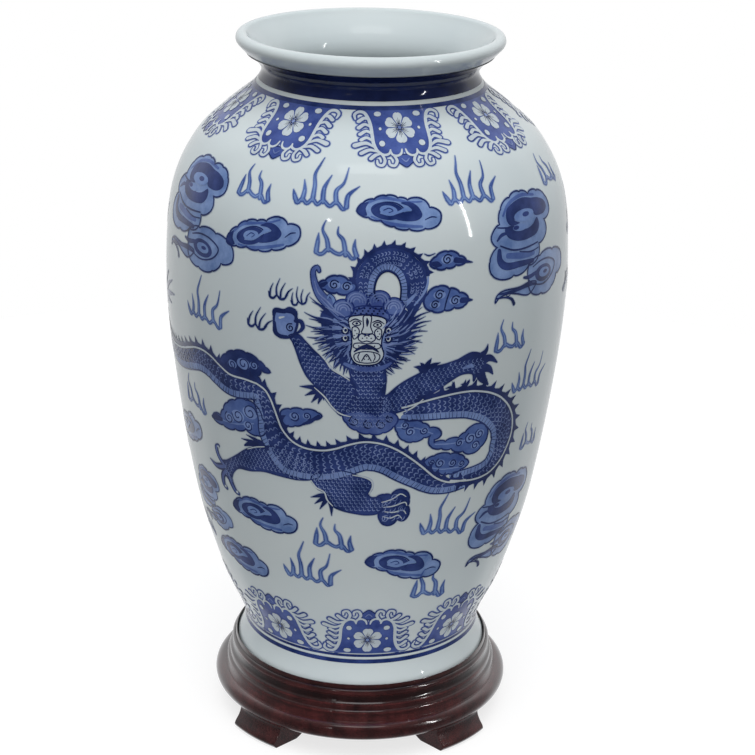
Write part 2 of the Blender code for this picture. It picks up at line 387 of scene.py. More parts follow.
class Side:
    """The vase's outer side, by arc length s in mm from the foot and map distance x in mm round it."""

    def __init__(self, base):
        curve = catmull(VASE_SIDE, 0.5)
        self.s = arc_length(curve)
        self.radius = curve[:, 0]
        self.height = curve[:, 1] + base
        slope = np.gradient(curve, self.s, axis=0)
        self.out = slope[:, 1] / np.hypot(*slope.T)
        self.up = -slope[:, 0] / np.hypot(*slope.T)
        self.length = self.s[-1]

    def at(self, x, s, lift):
        """Points lifted off the surface, and the surface's normals."""
        columns = (self.radius, self.height, self.out, self.up)
        radius, height, out, up = (np.interp(s, self.s, column) for column in columns)
        angle = np.asarray(x) / MAP_RADIUS
        radius = radius + lift * out
        points = np.column_stack([radius * np.sin(angle), -radius * np.cos(angle), height + lift * up])
        normals = np.column_stack([out * np.sin(angle), -out * np.cos(angle), up])
        return points, normals

    def stretch(self, s):
        """True mm round the vase for each mm on the map."""
        return np.interp(s, self.s, self.radius) / MAP_RADIUS


# ---------------------------------------------------------------- painting

class Painting:
    """Collects flat shapes on the map, one mesh for each coat of colour."""

    def __init__(self, side):
        self.side = side
        self.points = {name: [] for name in LAYERS}
        self.faces = {name: [] for name in LAYERS}
        self.count = dict.fromkeys(LAYERS, 0)

    def add(self, layer, points, faces):
        """Stores a shape, moved by whole turns so that its middle lies past the seam."""
        start = self.count[layer]
        turns = math.floor((points[:, 0].mean() - SEAM) / ROUND)
        points = points - np.array([turns * ROUND, 0.0])
        self.points[layer].append(points)
        self.faces[layer] += [tuple(start + k for k in face) for face in faces]
        self.count[layer] += len(points)

    def fill(self, layer, outline):
        """A filled closed outline, with inner points close enough to follow the vase."""
        outline = np.asarray(outline, float)
        x, s = outline.T
        if np.sum(x * np.roll(s, -1) - s * np.roll(x, -1)) < 0:
            outline = outline[::-1]
        low, high = outline.min(0), outline.max(0)
        xs = np.arange(low[0] + 1.2, high[0], GRID)
        ss = np.arange(low[1] + 1.2, high[1], GRID)
        inner = np.array([(x, s) for x in xs for s in ss]).reshape(-1, 2)
        verts = [Vector(p) for p in np.vstack([outline, inner])]
        ring = [list(range(len(outline)))]
        made, _, faces, _, _, _ = delaunay_2d_cdt(verts, [], ring, 1, 1e-5)
        if layer in BLEEDING:
            self.ribbon("bleed", with_width(outline, BLEED_WIDTH), True)
        used = sorted({k for face in faces for k in face})
        place = {k: n for n, k in enumerate(used)}
        points = np.array([tuple(made[k]) for k in used])
        self.add(layer, points, [tuple(place[k] for k in face) for face in faces])

    def ribbon(self, layer, path, closed=False):
        """A brush line along (x, s, width), with round ends."""
        path = np.asarray(path, float)
        if layer in BLEEDING:
            self.ribbon("bleed", path + np.array([0, 0, BLEED_WIDTH]), closed)
        if closed:
            path = np.vstack([path, path[:1]])
        stretch = self.side.stretch(path[:, 1])
        slope = np.gradient(path[:, :2], axis=0)
        slope[:, 0] *= stretch
        if closed:
            slope[0] = slope[-1] = slope[0] + slope[-1]
        slope = unit(slope)
        across = np.column_stack([-slope[:, 1] / stretch, slope[:, 0]])
        along = np.column_stack([slope[:, 0] / stretch, slope[:, 1]])
        half = path[:, 2] / 2
        centre = path[:, :2]
        if not closed:
            centre, half, across = self.round_ends(centre, half, across, along)
        lanes = max(2, math.ceil(2 * half.max() / 3.0) + 1)
        rows = [centre + across * (half * w)[:, None] for w in np.linspace(1, -1, lanes)]
        points = np.stack(rows, 1).reshape(-1, 2)
        faces = []
        for i in range(len(centre) - 1):
            for j in range(lanes - 1):
                a = i * lanes + j
                faces.append((a, a + 1, a + lanes + 1, a + lanes))
        self.add(layer, points, faces)

    @staticmethod
    def round_ends(centre, half, across, along):
        """A half circle added to both ends of a line, given its centre line and half widths."""
        angles = np.radians([80, 50, 22])
        first = centre[0] - along[0] * (half[0] * np.sin(angles))[:, None]
        last = centre[-1] + along[-1] * (half[-1] * np.sin(angles[::-1]))[:, None]
        return (
            np.vstack([first, centre, last]),
            np.r_[half[0] * np.cos(angles), half, half[-1] * np.cos(angles[::-1])],
            np.vstack([across[:1]] * 3 + [across] + [across[-1:]] * 3),
        )

    def build(self):
        """One piece for each coat, lifted above the coat below."""
        for n, name in enumerate(LAYERS):
            if not self.count[name]:
                continue
            flat = np.vstack(self.points[name])
            points, normals = self.side.at(flat[:, 0], flat[:, 1], COAT * (n + 1))
            u = (flat[:, 0] - SEAM + MARGIN) / (ROUND + 2 * MARGIN)
            uv = np.column_stack([u, flat[:, 1] / self.side.length])
            material = cobalt_material(name, *COBALT[name])
            mesh_piece("painted_" + name, points, self.faces[name], material, "vase", normals, uv)


class Brush:
    """Draws a motif, given in its own mm, at a place on the map."""

    def __init__(self, painting, x, s, size=1.0, turn=0.0, flip_s=1):
        self.painting = painting
        self.place = np.array([x, s], float)
        self.size = size
        c, n = math.cos(math.radians(turn)), math.sin(math.radians(turn))
        self.matrix = np.array([[c, -n], [n, c]]) * size @ np.diag([1, flip_s])

    def put(self, points):
        """The motif's (x, s) or (x, s, width) points on the map."""
        points = np.asarray(points, float)
        moved = points.copy()
        moved[:, :2] = points[:, :2] @ self.matrix.T + self.place
        if points.shape[1] > 2:
            moved[:, 2] = points[:, 2] * self.size
        return moved

    def shape(self, layer, points, edge=None, width=0.8, bulge=0.0):
        """A filled smooth outline with an optional edge line. A bulge makes it scalloped instead."""
        outline = lobes(points, bulge) if bulge else catmull(points, 1.2, True)
        self.fill(layer, outline)
        if edge:
            self.trace(edge, outline, width, True)

    def fill(self, layer, outline):
        """A filled outline, with the points as they are."""
        self.painting.fill(layer, self.put(outline))

    def trace(self, layer, points, width=None, closed=False):
        """A line along the points as they are: (x, s, width), or (x, s) with one width."""
        if width is not None:
            points = with_width(points, width)
        self.painting.ribbon(layer, self.put(points), closed)

    def line(self, layer, *paths, width=None, step=0.9):
        """Smooth brush lines, each through points of (x, s, width), or (x, s) with one width."""
        for points in paths:
            points = np.asarray(points, float)
            if width is not None:
                points = with_width(points, width)
            self.trace(layer, catmull(points, step))

    def lined(self, top, points, under="line", rim=0.55):
        """A brush line on a wider, darker one."""
        points = np.asarray(points, float)
        wide = points + np.array([0, 0, 2 * rim])
        self.line(under, wide)
        self.line(top, points)

    def oval(self, layer, x, s, rx, rs, turn=0.0, edge=None, width=0.7):
        self.shape(layer, oval(x, s, rx, rs, turn), edge, width)

    def ring(self, layer, x, s, rx, rs, width):
        self.trace(layer, catmull(oval(x, s, rx, rs), 0.8, True), width, True)


def oval(x, s, rx, rs, turn=0.0, count=10):
    """Points of an oval of half axes rx and rs, turned in degrees."""
    angles = np.linspace(0, math.tau, count, endpoint=False)
    c, n = math.cos(math.radians(turn)), math.sin(math.radians(turn))
    a, b = rx * np.cos(angles), rs * np.sin(angles)
    return np.column_stack([x + a * c - b * n, s + a * n + b * c])


def lobes(points, bulge):
    """A scalloped outline: between each two points an arc that stands out by a share of its chord."""
    points = np.asarray(points, float)
    x, s = points.T
    sense = 1 if np.sum(x * np.roll(s, -1) - s * np.roll(x, -1)) > 0 else -1
    made = []
    for a, b in zip(points, np.roll(points, -1, 0)):
        chord = b - a
        out = np.array([chord[1], -chord[0]]) * sense * bulge
        count = max(4, math.ceil(np.hypot(*chord) / 1.0))
        for share in np.arange(count) / count:
            made.append(a + chord * share + out * (1 - (2 * share - 1) ** 2) ** 0.7)
    return np.array(made)


def mirrored(points):
    """The points with left and right exchanged."""
    return [(-p[0], *p[1:]) for p in points]


def both(draw, layer, points, *rest, **named):
    """Draws a shape, and the same shape mirrored left to right."""
    draw(layer, points, *rest, **named)
    draw(layer, mirrored(points), *rest, **named)


# ---------------------------------------------------------------- motifs

def lappet(brush):
    """A hanging shield with a flower, edged with scroll leaves. It hangs along +s from its base line."""
    half = [
        (-29, -0.6), (-26.4, 3.2), (-24, 6.5), (-22, 11), (-21, 17), (-20.2, 22), (-17.5, 26.5),
        (-13.5, 28.6), (-9.3, 27.5), (-5, 28.8), (-1.5, 27.5),
    ]
    side = catmull(half, 1.2)
    brush.fill("ground", np.vstack([side, (side * [-1, 1])[::-1]]))
    leaves = [
        [(-24.5, 6.5, 1), (-28.5, 5.8, 1.9), (-32.6, 8, 2.1)],
        [(-22.8, 11.5, 1), (-27.5, 9.8, 1.8), (-32, 12.2, 2.2)],
        [(-21.8, 16, 1), (-26, 14.2, 1.8), (-30.6, 16.4, 2)],
        [(-21.2, 20.5, 1), (-25.5, 18.4, 1.7), (-29.5, 19.9, 1.9)],
        [(-20.5, 24, 1), (-26, 21.8, 2), (-33.5, 23.4, 2.6)],
        [(-18.5, 27, 1), (-23.5, 26, 1.9), (-28.8, 28.2, 2.1)],
        [(-16.5, 28.5, 1), (-19.5, 29.2, 1.9), (-22.4, 31.4, 1.9)],
    ]
    hooks = [
        [(-15, 29, 1.2), (-13.4, 32.2, 1.5), (-15, 35.2, 1.5), (-18, 34.6, 1.4), (-18.4, 32.4, 1)],
        [(-7.4, 29.4, 1.2), (-5.7, 32.4, 1.5), (-7.4, 35.4, 1.5), (-10.4, 34.8, 1.4), (-10.8, 32.6, 1)],
    ]
    for path in leaves:
        both(brush.lined, "pale", path, "ground", 0.85)
    for path in hooks:
        both(brush.lined, "pale", path, "ground", 0.7)
    outer = [
        (-35.6, 6.6, 0.9), (-36.8, 3.8, 1.5), (-33.5, 1.9, 1.7), (-28.5, 2.4, 1.7), (-24.9, 6, 1.7),
        (-22.7, 11, 1.7), (-21.6, 17, 1.7), (-20.5, 22.3, 1.7), (-17.8, 26.8, 1.6), (-13.8, 29, 1.5),
        (-10.2, 28.2, 1.3), (-9.2, 25.9, 0.8),
    ]
    inner = [(-9.2, 26.6, 0.8), (-8.2, 28.9, 1.3), (-5, 29.6, 1.3), (-2.2, 28.2, 1.2), (-1.3, 25.6, 0.7)]
    both(brush.lined, "pale", outer, "ground", 0.85)
    both(brush.lined, "pale", inner, "ground", 0.6)
    bud = [
        (-4.6, 29.8), (-5.2, 33), (-3.2, 34.6), (0, 36.4), (3.2, 34.6), (5.2, 33), (4.6, 29.8), (0, 28.8),
    ]
    brush.shape("ground", bud, "line", 0.7)
    brush.line("fleck", [(-2.4, 31.4, 0.4), (0, 33.2, 0.7), (2.4, 31.4, 0.4)])

    for k in range(6):
        angle = math.radians(30 + 60 * k)
        petal = [
            (2, -20), (5.4, -26), (8, -25), (9.6, -15), (10, -5), (9.7, 0), (10, 5), (9.6, 15), (8, 25),
            (5.4, 26), (2, 20),
        ]
        turned = [(r, angle + math.radians(side)) for r, side in petal]
        brush.shape("pale", [(1.2 * r * math.cos(a), 11.9 + 0.98 * r * math.sin(a)) for r, a in turned])
        for fan, reach in ((-13, 5.2), (0, 6.4), (13, 5.2)):
            a = angle + math.radians(fan)
            vein = [(2.2, 0.45), (0.6 * reach, 0.35), (reach, 0.15)]
            brush.line("ink", [(1.15 * r * math.cos(a), 11.9 + r * math.sin(a), w) for r, w in vein])
    brush.oval("ink", 0, 11.9, 2.1, 1.8)
    brush.oval("fleck", 0, 11.9, 1.4, 1.2)
    for x, t, rx, rt in (
        (-17, 3, 3.2, 1.5), (17.6, 3.2, 3.4, 1.6), (-14.6, 22, 2.1, 1.8), (14.2, 22, 2.4, 1.8),
        (-15.4, 12.6, 1.1, 1), (15.6, 12.4, 1.1, 1),
    ):
        brush.oval("pale", x, t, rx, rt, 0, "line", 0.35)


def flame(brush, base, tongues):
    """Brushed tongues that rise from a wavy base."""
    strokes = [[(x, s, 2.1) for x, s in base]]
    for tongue in tongues:
        widths = np.interp(np.arange(len(tongue)), [0, 1, len(tongue) - 1], [2.7, 2.2, 0.45])
        strokes.append([(x, s, w) for (x, s), w in zip(tongue, widths)])
    for stroke in strokes:
        brush.line("mid", stroke)
        brush.line("wash_top", [(x, s, max(w - 1.5, 0.1)) for x, s, w in stroke[:-1]])


def long_flame(brush):
    """A flame of six tongues."""
    base = [
        (-17.6, 1.6), (-15.4, -0.8), (-13, 1.6), (-10, -0.6), (-7, 1.8), (-4, -0.6), (-1, 1.6), (3, -1),
        (6.6, 1.2), (10.4, -2.2), (12.6, -0.4),
    ]
    tongues = [
        [(-16, -0.3), (-18, 3), (-19.3, 5.8)],
        [(-13, 1), (-12.5, 6), (-13.8, 11.5)],
        [(-7, 1.5), (-7, 9), (-8, 15), (-6, 20.5), (-4.4, 24.6)],
        [(-1, 1), (-1.2, 8), (2.2, 15)],
        [(6.5, 1), (6, 7), (10, 11.5), (12, 19.6)],
        [(12.3, -1), (13, 5), (19, 9.8)],
    ]
    flame(brush, base, tongues)


def short_flame(brush):
    """A flame of four tongues."""
    base = [
        (-10.6, 1.6), (-9.4, -0.8), (-7, -0.6), (-4, 2), (-1, 0.4), (2, -0.4), (5, 1), (8.4, -2.4),
        (11, -0.8),
    ]
    tongues = [
        [(-10.4, 0), (-9.8, 5.5), (-9.6, 9.5)],
        [(-4, 1.5), (-5, 6.5), (-7.6, 11.5), (-6.2, 16)],
        [(5, -0.6), (3.6, 6.5), (0.7, 9.8), (0.7, 13.2)],
        [(10.6, -1), (9.4, 3), (9.8, 7.2)],
    ]
    flame(brush, base, tongues)


def grass(brush):
    """A small dark flame of quick thin strokes."""
    brush.line("line", [
        (-6, -0.6, 0.5), (-5, -3.4, 1.4), (-2.8, -3.8, 1.3), (-1, -2, 0.9), (1, -3.8, 1.3),
        (3.4, -3.4, 1.3), (5.2, -1.2, 0.6),
    ])
    for stroke in (
        [(-5.2, -2.6), (-4.8, 1), (-3.4, 4.2)],
        [(-1, -2.2), (-1.3, 2.2), (0.6, 7.4)],
        [(1.2, -3), (1.6, 1), (3.8, 5.2)],
        [(4.4, -2), (5.8, 0.8), (8, 2.8)],
    ):
        brush.line("line", [(*point, width) for point, width in zip(stroke, (1.3, 0.9, 0.3))])


def oval_cloud(brush):
    """A flat scalloped cloud with a curl of darker wash."""
    outline = [
        (-23, 0.2), (-19.6, 4.4), (-13.6, 6.4), (-7, 8.2), (-0.4, 7), (5, 5.8), (13.6, 5.8), (17, 1.4),
        (23, -1.6), (21.6, -7), (13.6, -9), (5, -8.8), (-3, -7.4), (-10, -4.2), (-16.6, -2.8),
    ]
    brush.shape("wash", outline, "line", 0.9, bulge=0.13)
    brush.shape("deep", [(-23, 0.4), (-20, 3.8), (-16.6, 5), (-18.2, 1.6), (-17.4, -1.8), (-20, -1.8)])
    brush.line(
        "mid",
        [(-17.4, 4.4, 1.2), (-10, 7.2, 1.8), (-2, 6.2, 1.4), (5, 4.8, 1.2), (13, 4.6, 0.8)],
        [(-15, -2.4, 1), (-8, -5.2, 1.6), (1, -7, 1.8), (12, -8, 1.2)],
    )
    brush.oval("deep", -6.5, 0.4, 9.0, 4.5, -6)
    brush.shape("deep", [
        (-2, -3.6), (4, -5), (10, -4.6), (12.6, -2), (10.4, 2.4), (6, 4.8), (1, 4.4), (5, 2.6), (7, 0.2),
        (2, -0.6),
    ])
    brush.oval("wash_top", -5.8, 0.7, 4.9, 2.5, -8)
    brush.line("wash_top", [(-10, -0.6, 0.8), (-5, -1.6, 1), (0, -0.2, 1.2), (3.6, 1, 1.8), (6.2, 0.6, 1)])
    brush.line("deep_top", [(-8.4, 0.8, 0.5), (-5.4, 1.8, 0.6), (-3.4, 0.4, 0.5), (-5.6, -0.4, 0.4)])
    brush.line(
        "line",
        [(-14.6, 1.6, 0.5), (-9, 4.6, 0.7), (-2, 4.4, 0.7), (2.4, 1.4, 0.7), (0.4, -2.2, 0.5)],
        [(14, -4.6, 0.4), (17.6, -3.4, 0.7), (20.4, -3.8, 0.4)],
    )


def big_cloud(brush):
    """A tall piled cloud with a curled head, a tail cloud and a swoosh."""
    head = [
        (-24.4, 0), (-22, 7.4), (-13.4, 12.4), (-4, 14), (3, 11.6), (12, 11.6), (19.6, 7.4), (21.6, -0.4),
        (13, -4), (15, -10.4), (6, -15.4), (5, -22.4), (-4, -25), (-16, -28), (-31, -25.4), (-32.4, -18),
        (-27, -11.4), (-31, -6.4),
    ]
    tail = [
        (-4, -26), (7, -22.4), (21, -22.4), (34, -27), (34.6, -34.4), (26.6, -37), (20, -42.4), (8, -43),
        (-2, -40), (-4, -33),
    ]
    swoosh = [
        (-29, -40.6), (-28, -37), (-23, -35), (-12, -35.4), (-3, -34.4), (3, -36), (-4, -41), (-14, -38.4),
        (-20, -37.2), (-26, -38.2),
    ]
    brush.shape("wash", swoosh, "line", 0.9)
    brush.shape("wash", tail, "line", 0.9, bulge=0.13)
    brush.shape("wash", head, "line", 0.9, bulge=0.15)
    brush.shape("deep", [
        (-19, 1.6), (-17.4, 6.8), (-11, 9.6), (-3, 10.6), (5, 9), (11, 8), (17, 5.4), (18.4, 1.6), (14, -1),
        (6, -0.6), (3, 2), (-2, 4.4), (-9, 4), (-13, 0.4), (-9, -1.6), (-16, -2),
    ])
    brush.shape("deep", [
        (-21, -3), (-19, -7.6), (-12, -10.6), (-3, -11), (5, -9.6), (8, -5.6), (6.4, -1.6), (2, -4.4),
        (-4, -5.6), (-10, -4.4), (-15, -2),
    ])
    brush.oval("wash_top", -4.5, 1.6, 8.6, 3.1)
    brush.oval("deep_top", -3.2, 1.9, 3.0, 1.3)
    brush.oval("wash_top", -9.5, -4.0, 5.6, 1.8, -4)
    brush.oval("deep_top", -12.5, -3.6, 2.4, 1.1)
    brush.line("deep", [
        (-26, -13.5, 2.6), (-25.6, -19, 4), (-21, -22.4, 4), (-11, -23, 3.4), (0, -23.4, 2.4),
    ])
    brush.line(
        "line",
        [(-25, -11, 0.8), (-16, -14.6, 1), (-6, -15.4, 1), (5, -14.6, 0.8)],
        [(-11, -16.4, 0.6), (-2, -18.2, 0.9), (5.4, -17.6, 0.6)],
        [(-26, -1.4, 0.7), (-20, -2.4, 0.9), (-14, -2.8, 0.6)],
    )
    brush.line(
        "mid",
        [(-21, 4, 1.2), (-15, 9.4, 1.8), (-4, 12, 1.8), (8, 10.2, 1.4)],
        [(-20, -17, 3), (-8, -19, 3.4), (1, -19.6, 2.2)],
    )
    brush.line("deep", [(-27, -8, 1), (-23.6, -5.6, 2), (-19, -5.2, 1)])
    brush.oval("deep", 10.5, -32.4, 8.6, 4.6, -4)
    brush.oval("wash_top", 11, -32.2, 5.4, 2.6, -4)
    brush.oval("deep_top", 12.0, -32.0, 2.2, 1.0)
    brush.line("line", [
        (0, -27, 0.7), (8, -25.2, 0.9), (17, -26, 0.9), (24, -30, 0.9), (20, -35.6, 0.9), (10, -38.4, 0.9),
        (0, -36, 0.7), (-4, -33, 0.6),
    ])
    brush.line(
        "deep",
        [(-8, -31, 1.2), (-3, -31.6, 2.4), (3, -30.6, 2)],
        [(-26, -36.4, 1), (-16, -36.6, 1.8), (-5, -35.8, 2.2), (3, -36.6, 1.2)],
    )
    brush.line("line", [(-28, -38.4, 0.9), (-22, -38.8, 1), (-17.5, -40.6, 1.6), (-15.6, -43.6, 2)])
    brush.ring("line", -20.0, -37.6, 1.4, 1.0, 0.6)


def wisp(brush, outline, curls, tip):
    """A small trailing cloud with curls, ending in a dark tip."""
    brush.shape("mid", outline, "line", 1.1, bulge=0.16)
    for x, s, r in curls:
        brush.oval("tint", x, s, r * 1.25, r * 0.85)
        swirl(brush, "ink", x, s, r, 0.6, 0.7)
    brush.line("line", tip)


# ---------------------------------------------------------------- dragon

def offset(path, distance):
    """A path moved sideways: positive is to the left of its direction."""
    slope = unit(np.gradient(path[:, :2], axis=0))
    return path[:, :2] + np.column_stack([-slope[:, 1], slope[:, 0]]) * np.asarray(distance).reshape(-1, 1)


def fins(brush, spine, side, reach, pitch):
    """A dark band with back-swept spikes along the spine. side is 1 for left of its direction."""
    length = arc_length(spine)
    tops = []
    for start in np.arange(0, length[-1] - pitch, pitch):
        for share, rise in ((0, 0.42), (0.35, 0.5), (0.72, 1), (0.80, 0.45), (0.97, 0.40)):
            tops.append((start + share * pitch, rise * reach))
    where = np.array(tops)
    x = np.interp(where[:, 0], length, spine[:, 0])
    s = np.interp(where[:, 0], length, spine[:, 1])
    slope = unit(np.gradient(spine, axis=0))
    nx = np.interp(where[:, 0], length, -slope[:, 1]) * side
    ns = np.interp(where[:, 0], length, slope[:, 0]) * side
    outer = np.column_stack([x + nx * where[:, 1], s + ns * where[:, 1]])
    inner = np.column_stack([x, s])[::-1]
    brush.fill("line", np.vstack([outer, inner]))


def scale_rows(brush, spine, widths, side, start):
    """Small overlapping scale strokes over the skin between the spine and the belly."""
    length = arc_length(spine)
    slope = unit(np.gradient(spine, axis=0))
    pitch = 3.1
    for n, place in enumerate(np.arange(1.5, length[-1] - 1, pitch)):
        columns = (*spine.T, *slope.T, widths)
        x, s, tx, ts, wide = (np.interp(place, length, column) for column in columns)
        for d in np.arange(start + (n % 2) * pitch / 2, wide - 4.2, pitch):
            cx, cs = x - ts * side * d, s + tx * side * d
            scale_stroke(brush, cx, cs, tx, ts, 1.3)


def scale_stroke(brush, x, s, tx, ts, size=1.0):
    """One curved scale mark that opens along the direction (tx, ts)."""
    points = []
    for u, v, w in ((-0.55, -1, 0.3), (0.45, -0.45, 0.52), (0.55, 0.3, 0.55), (-0.3, 0.95, 0.3)):
        points.append((x + (tx * u - ts * v) * size, s + (ts * u + tx * v) * size, w * size))
    brush.trace("fleck", points)


def inside(point, outline):
    """True if the point is inside the closed outline."""
    x, s = point
    a, b = outline, np.roll(outline, -1, 0)
    spans = (a[:, 1] > s) != (b[:, 1] > s)
    cross = a[spans, 0] + (s - a[spans, 1]) / (b[spans, 1] - a[spans, 1]) * (b[spans, 0] - a[spans, 0])
    return np.count_nonzero(cross > x) % 2 == 1


def skin(brush, points, angle, margin=1.2):
    """A filled limb with an edge line and scales lying along the angle."""
    outline = catmull(points, 1.2, True)
    brush.fill("deep", outline)
    brush.trace("line", outline, 0.8, True)
    c, n = math.cos(math.radians(angle)), math.sin(math.radians(angle))
    low, high = outline.min(0), outline.max(0)
    pitch = 2.6
    for row, s in enumerate(np.arange(low[1] + margin, high[1] - margin, pitch * 0.8)):
        for x in np.arange(low[0] + margin + (row % 2) * pitch / 2, high[0] - margin, pitch):
            near = [(x, s), (x + margin, s), (x - margin, s), (x, s + margin), (x, s - margin)]
            if all(inside(p, outline) for p in near):
                scale_stroke(brush, x, s, c, n, 0.95)


def trunk(brush, points, side, fin):
    """A length of body from (x, s, width) along the spine, with fins, scales and a belly band."""
    full = catmull(points, 1.2)
    spine, widths = full[:, :2], full[:, 2]
    far = offset(spine, side * widths)
    brush.fill("deep", np.vstack([spine, far[::-1]]))
    fins(brush, spine, -side, fin, 6.2)
    scale_rows(brush, spine, widths, side, 2.4)
    band = offset(spine, side * (widths - 2.1))
    brush.trace("tint", band, 3.4)
    length = arc_length(band)
    for place in np.arange(1, length[-1], 2.4):
        k = int(np.searchsorted(length, place))
        out = (band[k] - spine[k]) / widths[k]
        brush.trace("ink", [(*(band[k] + out * 1.7), 0.35), (*(band[k] - out * 1.9), 0.2)])
    brush.trace("line", far, 0.8)
    brush.trace("line", spine, 2.2)
    brush.trace("pale", spine, 1.05)


def spikes(brush, root, tips, width=2.0):
    """Dark tapering strokes from one root towards each tip."""
    for x, s in tips:
        bend = ((root[0] + x) / 2 + 0.6, (root[1] + s) / 2 + 0.8)
        brush.line("line", [(*root, width), (*bend, width * 0.8), (x, s, 0.3)])


def swirl(brush, layer, x, s, radius, start, width=0.6):
    """A small spiral that winds inwards from the start angle."""
    points = []
    for t in np.linspace(0, 1.4 * math.tau, 12):
        r = radius * (1 - t / 11)
        points.append((x + r * math.cos(start + t), s + r * math.sin(start + t), width))
    brush.line(layer, points, step=0.6)


def dragon_body(brush):
    """The trunk, from the chest round the right-hand loop and back along to the tail."""
    tail = [
        (-60, 197.6, 10), (-68, 198.4, 11.5), (-78, 198.6, 12.5), (-86, 202, 13), (-92, 205, 13.5),
        (-99, 206.6, 13.5), (-107, 206, 13), (-115, 203.6, 12.5), (-122, 201.2, 12), (-132, 199, 11.5),
        (-142, 198.5, 11), (-152, 200, 10), (-162, 205, 9), (-170, 213, 8), (-175, 223, 6.5),
        (-180, 231, 5), (-188, 236, 3.6), (-198, 236, 2.6), (-206, 232, 1.6),
    ]
    trunk(brush, tail, 1, 6.4)
    for x, s in ((-140, 221), (-133, 228), (-137, 235), (-146, 238)):
        brush.line("deep", [(-168, 214, 4.5), ((x - 168) / 2, (s + 214) / 2 + 2.6, 3.4), (x, s, 0.5)])
    back = [
        (62, 141.6, 5), (52, 142, 6.6), (45, 144.6, 9), (40, 148, 11), (35, 152.6, 13), (30, 157, 14.6),
        (25, 161, 15.6), (20, 164.6, 16), (15, 167.4, 16.4), (10, 169.4, 16.8), (5, 170.4, 17),
        (0, 170.6, 17), (-5, 169.6, 17.2), (-10, 168, 17.4), (-15, 166, 17.6), (-21, 164.4, 18),
        (-27, 164, 18.6), (-33, 164.5, 19.6), (-38, 166.2, 21), (-42, 169, 19), (-46, 174, 16),
        (-48.2, 180, 13), (-50, 185.4, 12), (-52, 190.6, 11.5), (-55, 195, 11), (-60, 197.6, 10.5),
    ]
    loop = [
        (20, 190.5, 8), (25, 191.6, 9.5), (30, 193, 11), (40, 194.8, 13), (50, 195.8, 14.6),
        (60, 195.4, 15.6), (70, 192.8, 16.4), (78, 189, 16.8), (84, 184.4, 17), (89, 179, 17),
        (92.4, 173, 17), (94, 166, 17), (93.6, 160, 16.4), (91, 153, 15.4), (87, 147.2, 13.4),
        (81, 142.8, 11), (75, 141, 9.4), (68, 140.6, 8.4), (60, 141.4, 7), (52, 143, 5),
    ]
    trunk(brush, loop, -1, 7.2)
    trunk(brush, back, 1, 5.6)


def left_hind_leg(brush):
    """The hind leg that reaches out to the left, with four claws."""
    skin(brush, [
        (-50, 162), (-60, 160.5), (-70, 156.5), (-78, 151), (-84, 147), (-89, 144), (-93, 142), (-92, 134),
        (-88, 132), (-84, 138), (-79, 142), (-70, 143), (-60, 145), (-50, 144.6), (-38, 144.2), (-28, 146),
        (-24, 150), (-30, 157), (-40, 161),
    ], 200)
    claws = [
        [(-91, 139.6, 4.6), (-96, 138, 4.2), (-101, 137.4, 3.2), (-107, 139.4, 0.6)],
        [(-92, 140, 3.6), (-96.4, 144.4, 3.2), (-97.6, 149.4, 3), (-95.2, 151.2, 2.4)],
        [(-91, 137, 4), (-95, 132.6, 3.6), (-95.4, 127.4, 3), (-93.2, 125.4, 2.6)],
        [(-89, 136, 4), (-87.6, 131, 3.8), (-85, 126.4, 3.2), (-82.4, 125.2, 2.6)],
    ]
    for claw in claws:
        brush.line("line", claw)
        brush.line("mid_top", [(x, s, 0.45 * w) for x, s, w in claw])
    for x, s in ((-95.4, 150.4), (-93.8, 126.4), (-83.2, 126)):
        brush.oval("pale", x, s, 0.9, 0.8)
    swirl(brush, "fleck", -86.5, 132.4, 1.5, 0.4, 0.35)
    spikes(brush, (-58, 160), [(-74, 161.6), (-70, 165), (-63, 164)], 3.0)
    brush.line("line", [(-56, 160, 3.2), (-66, 160.6, 3.6), (-72, 158, 1)])
    brush.line("pale", [(-58, 160.6, 0.5), (-64, 159, 0.7), (-70, 156.4, 0.4)])


